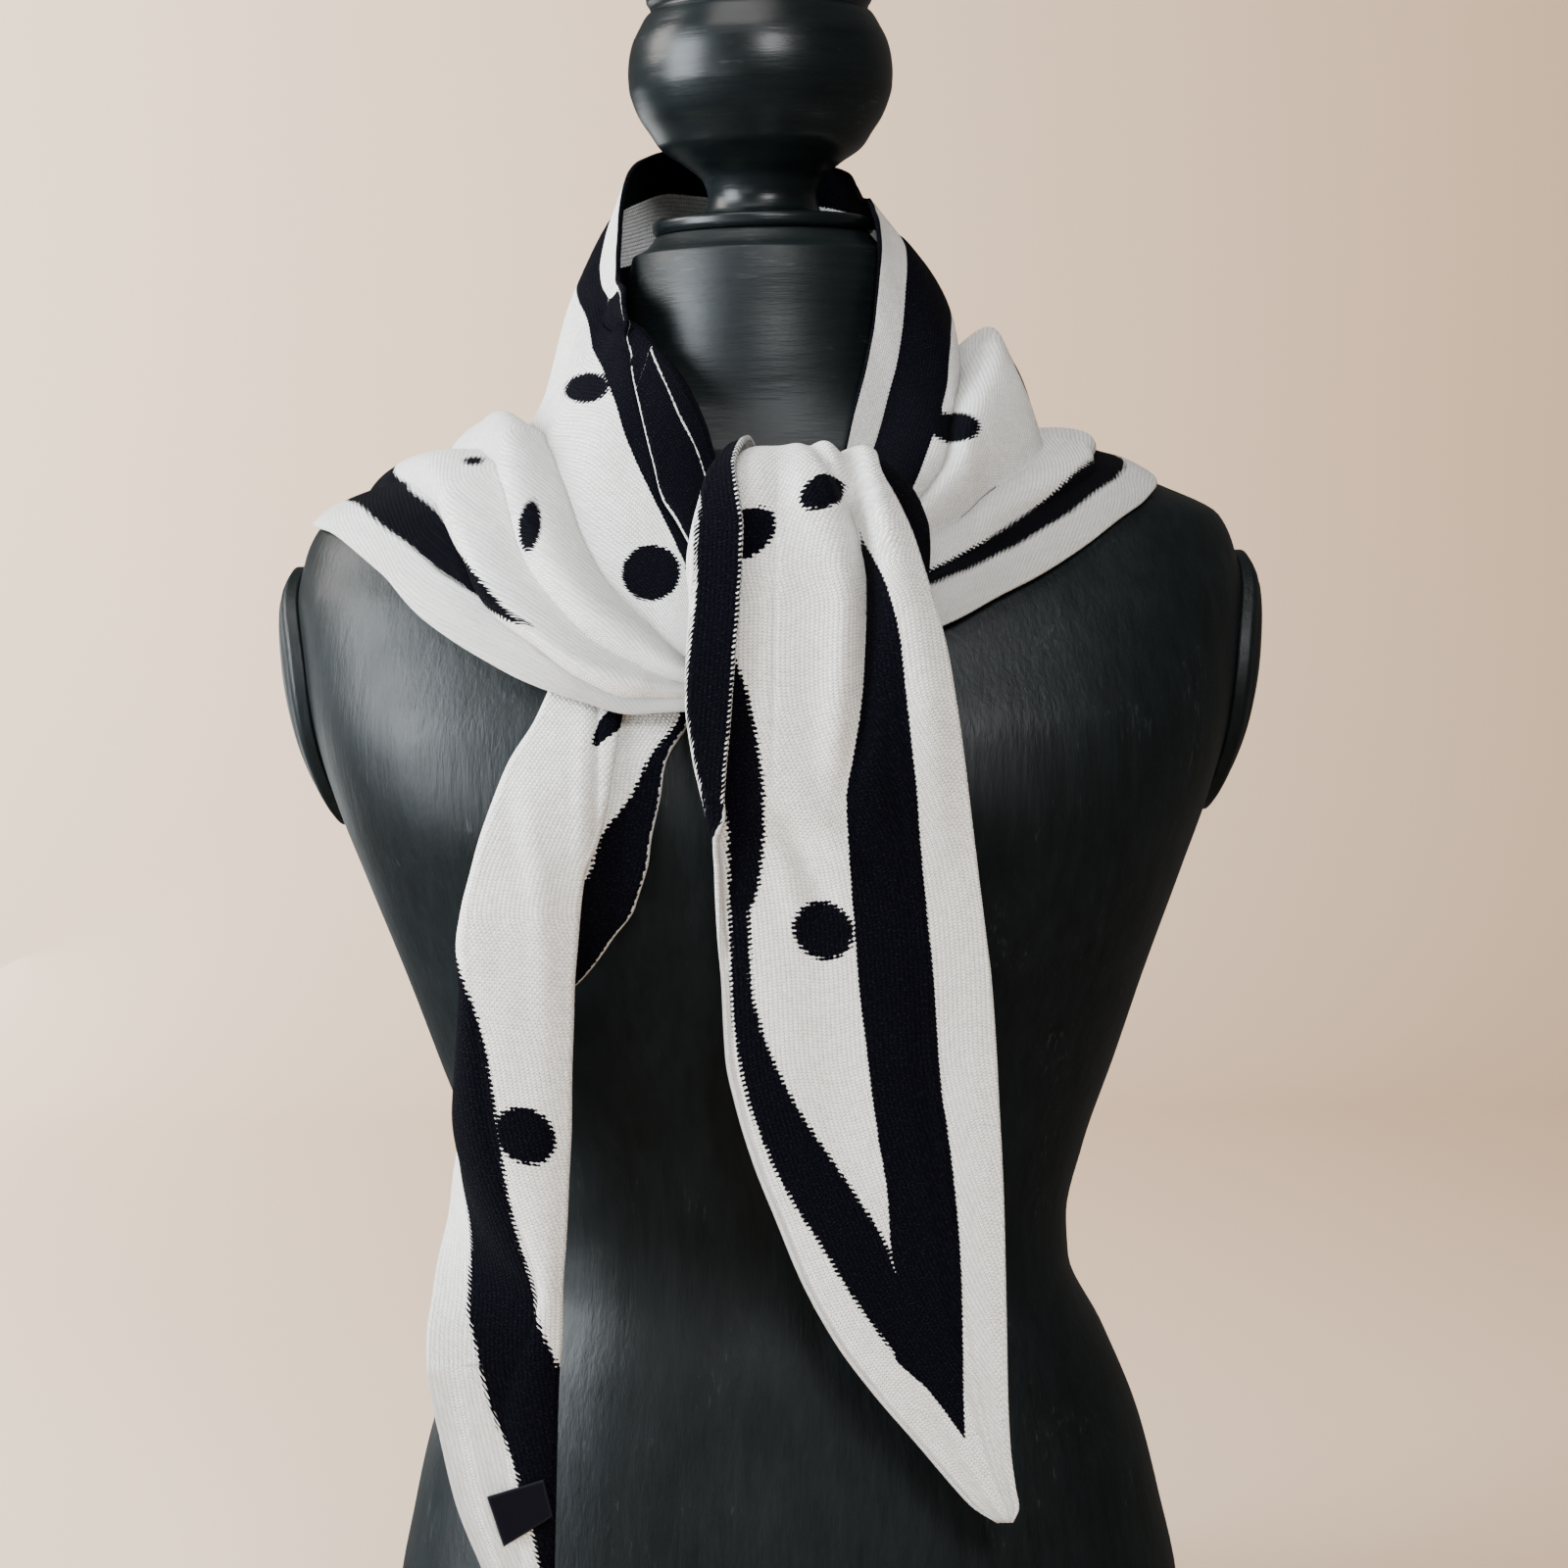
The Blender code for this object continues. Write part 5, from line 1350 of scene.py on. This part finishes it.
def paper_material():
    """Matt studio paper with painted light: lighter at the left, where the window light falls, and
    darker and warmer towards the right in painted shade.
    """
    made, tree, shader = fresh_material("studio_paper_shaded_right")
    place = lay(tree, "ShaderNodeTexCoord", "Object")
    x = lay(tree, "ShaderNodeSeparateXYZ", "X", Vector=place)
    # Painted shade: the paper's colour darkens from left to right across its width.
    colour = blend_colours(tree, step_over(x, -BACKDROP_SHADE_FADE, BACKDROP_SHADE_FADE), BACKDROP_LIT_LEFT,
                           BACKDROP_SHADED_RIGHT)
    feed_all(shader, dict(Base_Color=colour, Roughness=0.95, Specular_IOR_Level=0.10))
    return made


# ====== pieces
def dress(piece, node, materials):
    """Give a piece its materials and put it in the place of its plain solid."""
    for finish in materials:
        piece.data.materials.append(finish)
    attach(piece, "root")
    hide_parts(node)


def knitted_piece(name, surface, node, sides):
    piece = grid_object(name, *surface)
    add_wall(piece, CLOTH_WALL, back=1, rim=2)
    dress(piece, node, sides)
    return piece


def build_scarf():
    sides = (knit_material("knit_right_side", CREAM_YARN, BLACK_YARN),
             knit_material("knit_reverse", BLACK_YARN, CREAM_YARN),
             knit_material("knit_cast_off_edge", CREAM_YARN, BLACK_YARN, rim=True))

    wrap = knitted_piece("scarf_round_shoulders", shawl(), "scarf_shawl", sides)

    front = knitted_piece("scarf_tail_in_front", front_tail(), "scarf_front_tail",
                          sides)

    side_tail = left_tail()
    left = knitted_piece("scarf_tail_at_left", side_tail, "scarf_left_tail",
                         sides)
    tag = grid_object("care_label_bare", *label_patch(side_tail[0]))
    add_wall(tag, LABEL_WALL)
    dress(tag, "care_label", (label_material(),))

    loop = knitted_piece("scarf_loop_beside_tie", knot_loop(), "scarf_knot_loop",
                         sides)


def build_form():
    brushed = paint_material("form_paint_upright_strokes", UPRIGHT_STROKES, gloss=0.34,
                             relief=0.0011, level_above=NECK_SEAM_Z)
    turned = paint_material("finial_paint_level_strokes", LEVEL_STROKES, gloss=0.20,
                            relief=0.0006)
    torso = grid_object("form_body", torso_surface(), closed_round=True, caps=True)
    dress(torso, "form_torso", (brushed,))
    finial = grid_object("form_finial_turned", finial_surface(), closed_round=True)
    dress(finial, "form_finial", (turned,))
    for side, word in ((-1, "left"), (1, "right")):
        skin = plate_surface(side)
        if side > 0:
            skin = skin[:, ::-1]
        plate = grid_object(f"form_armhole_{word}", skin, closed_round=True, caps=True)
        dress(plate, f"form_arm_plate_{word}", (brushed,))


def build_stage():
    """A pale floor that curves up into a wall: depth and height by a quarter circle."""
    turn = np.linspace(0, np.pi / 2, 24)
    depth = np.concatenate(((STAGE_FRONT, STAGE_LEVEL_TO),
                            STAGE_WALL - STAGE_CURVE * (1 - np.sin(turn)), (STAGE_WALL,)))
    height = np.concatenate(((0, 0), STAGE_CURVE * (1 - np.cos(turn)), (STAGE_TOP,)))
    width = np.array((-STAGE_HALF_WIDTH, 0.0, STAGE_HALF_WIDTH))
    points = np.stack(np.broadcast_arrays(width[None, :], depth[:, None], height[:, None]), axis=-1)
    sweep = grid_object("studio_sweep", points[::-1])
    sweep.data.materials.append(paper_material())
    sweep.visible_glossy = False


def aim(place, target):
    """Right, up and back directions of a light at a place that looks at a target."""
    back = np.array(place, float) - np.array(target, float)
    back = back / np.linalg.norm(back)
    right = np.cross((0.0, 0.0, 1.0), back)
    right = right / np.linalg.norm(right)
    return right, np.cross(back, right), back


def set_place(thing, right, up, back, place):
    """Put a light or the camera in its place, from its three directions."""
    matrix = np.eye(4)
    matrix[:3, 0] = right
    matrix[:3, 1] = up
    matrix[:3, 2] = back
    matrix[:3, 3] = place
    thing.matrix_world = Matrix(matrix.tolist())


def build_lights():
    for name, place, target, size, power, colour in LIGHTS:
        lamp = bpy.data.lights.new(name, "AREA")
        lamp.shape = "RECTANGLE"
        lamp.size, lamp.size_y = size
        lamp.energy = power
        lamp.color = colour
        thing = bpy.data.objects.new(name, lamp)
        bpy.context.scene.collection.objects.link(thing)
        set_place(thing, *aim(place, target), place)
    world = bpy.context.scene.world or bpy.data.worlds.new("studio_air")
    bpy.context.scene.world = world
    world.use_nodes = True
    sky = world.node_tree.nodes["Background"]
    sky.inputs["Color"].default_value = (*SKY_COLOUR, 1.0)
    sky.inputs["Strength"].default_value = SKY_STRENGTH


def build_camera():
    pitch = np.radians(CAMERA_PITCH)
    roll = np.radians(CAMERA_ROLL)
    ahead = np.array((0.0, np.cos(pitch), np.sin(pitch)))
    level = np.array((1.0, 0.0, 0.0))
    up = np.cross(level, ahead)
    right = np.cos(roll) * level + np.sin(roll) * up
    over = -np.sin(roll) * level + np.cos(roll) * up
    eye = bpy.data.cameras.new("picture_camera")
    eye.lens = CAMERA_LENS
    eye.sensor_width = CAMERA_SENSOR
    eye.sensor_fit = "HORIZONTAL"
    eye.clip_start = 0.02
    camera = bpy.data.objects.new("picture_camera", eye)
    bpy.context.scene.collection.objects.link(camera)
    set_place(camera, right, over, -ahead, CAMERA_PLACE)
    bpy.context.scene.camera = camera


build_camera()
build_form()
build_scarf()
build_stage()
build_lights()
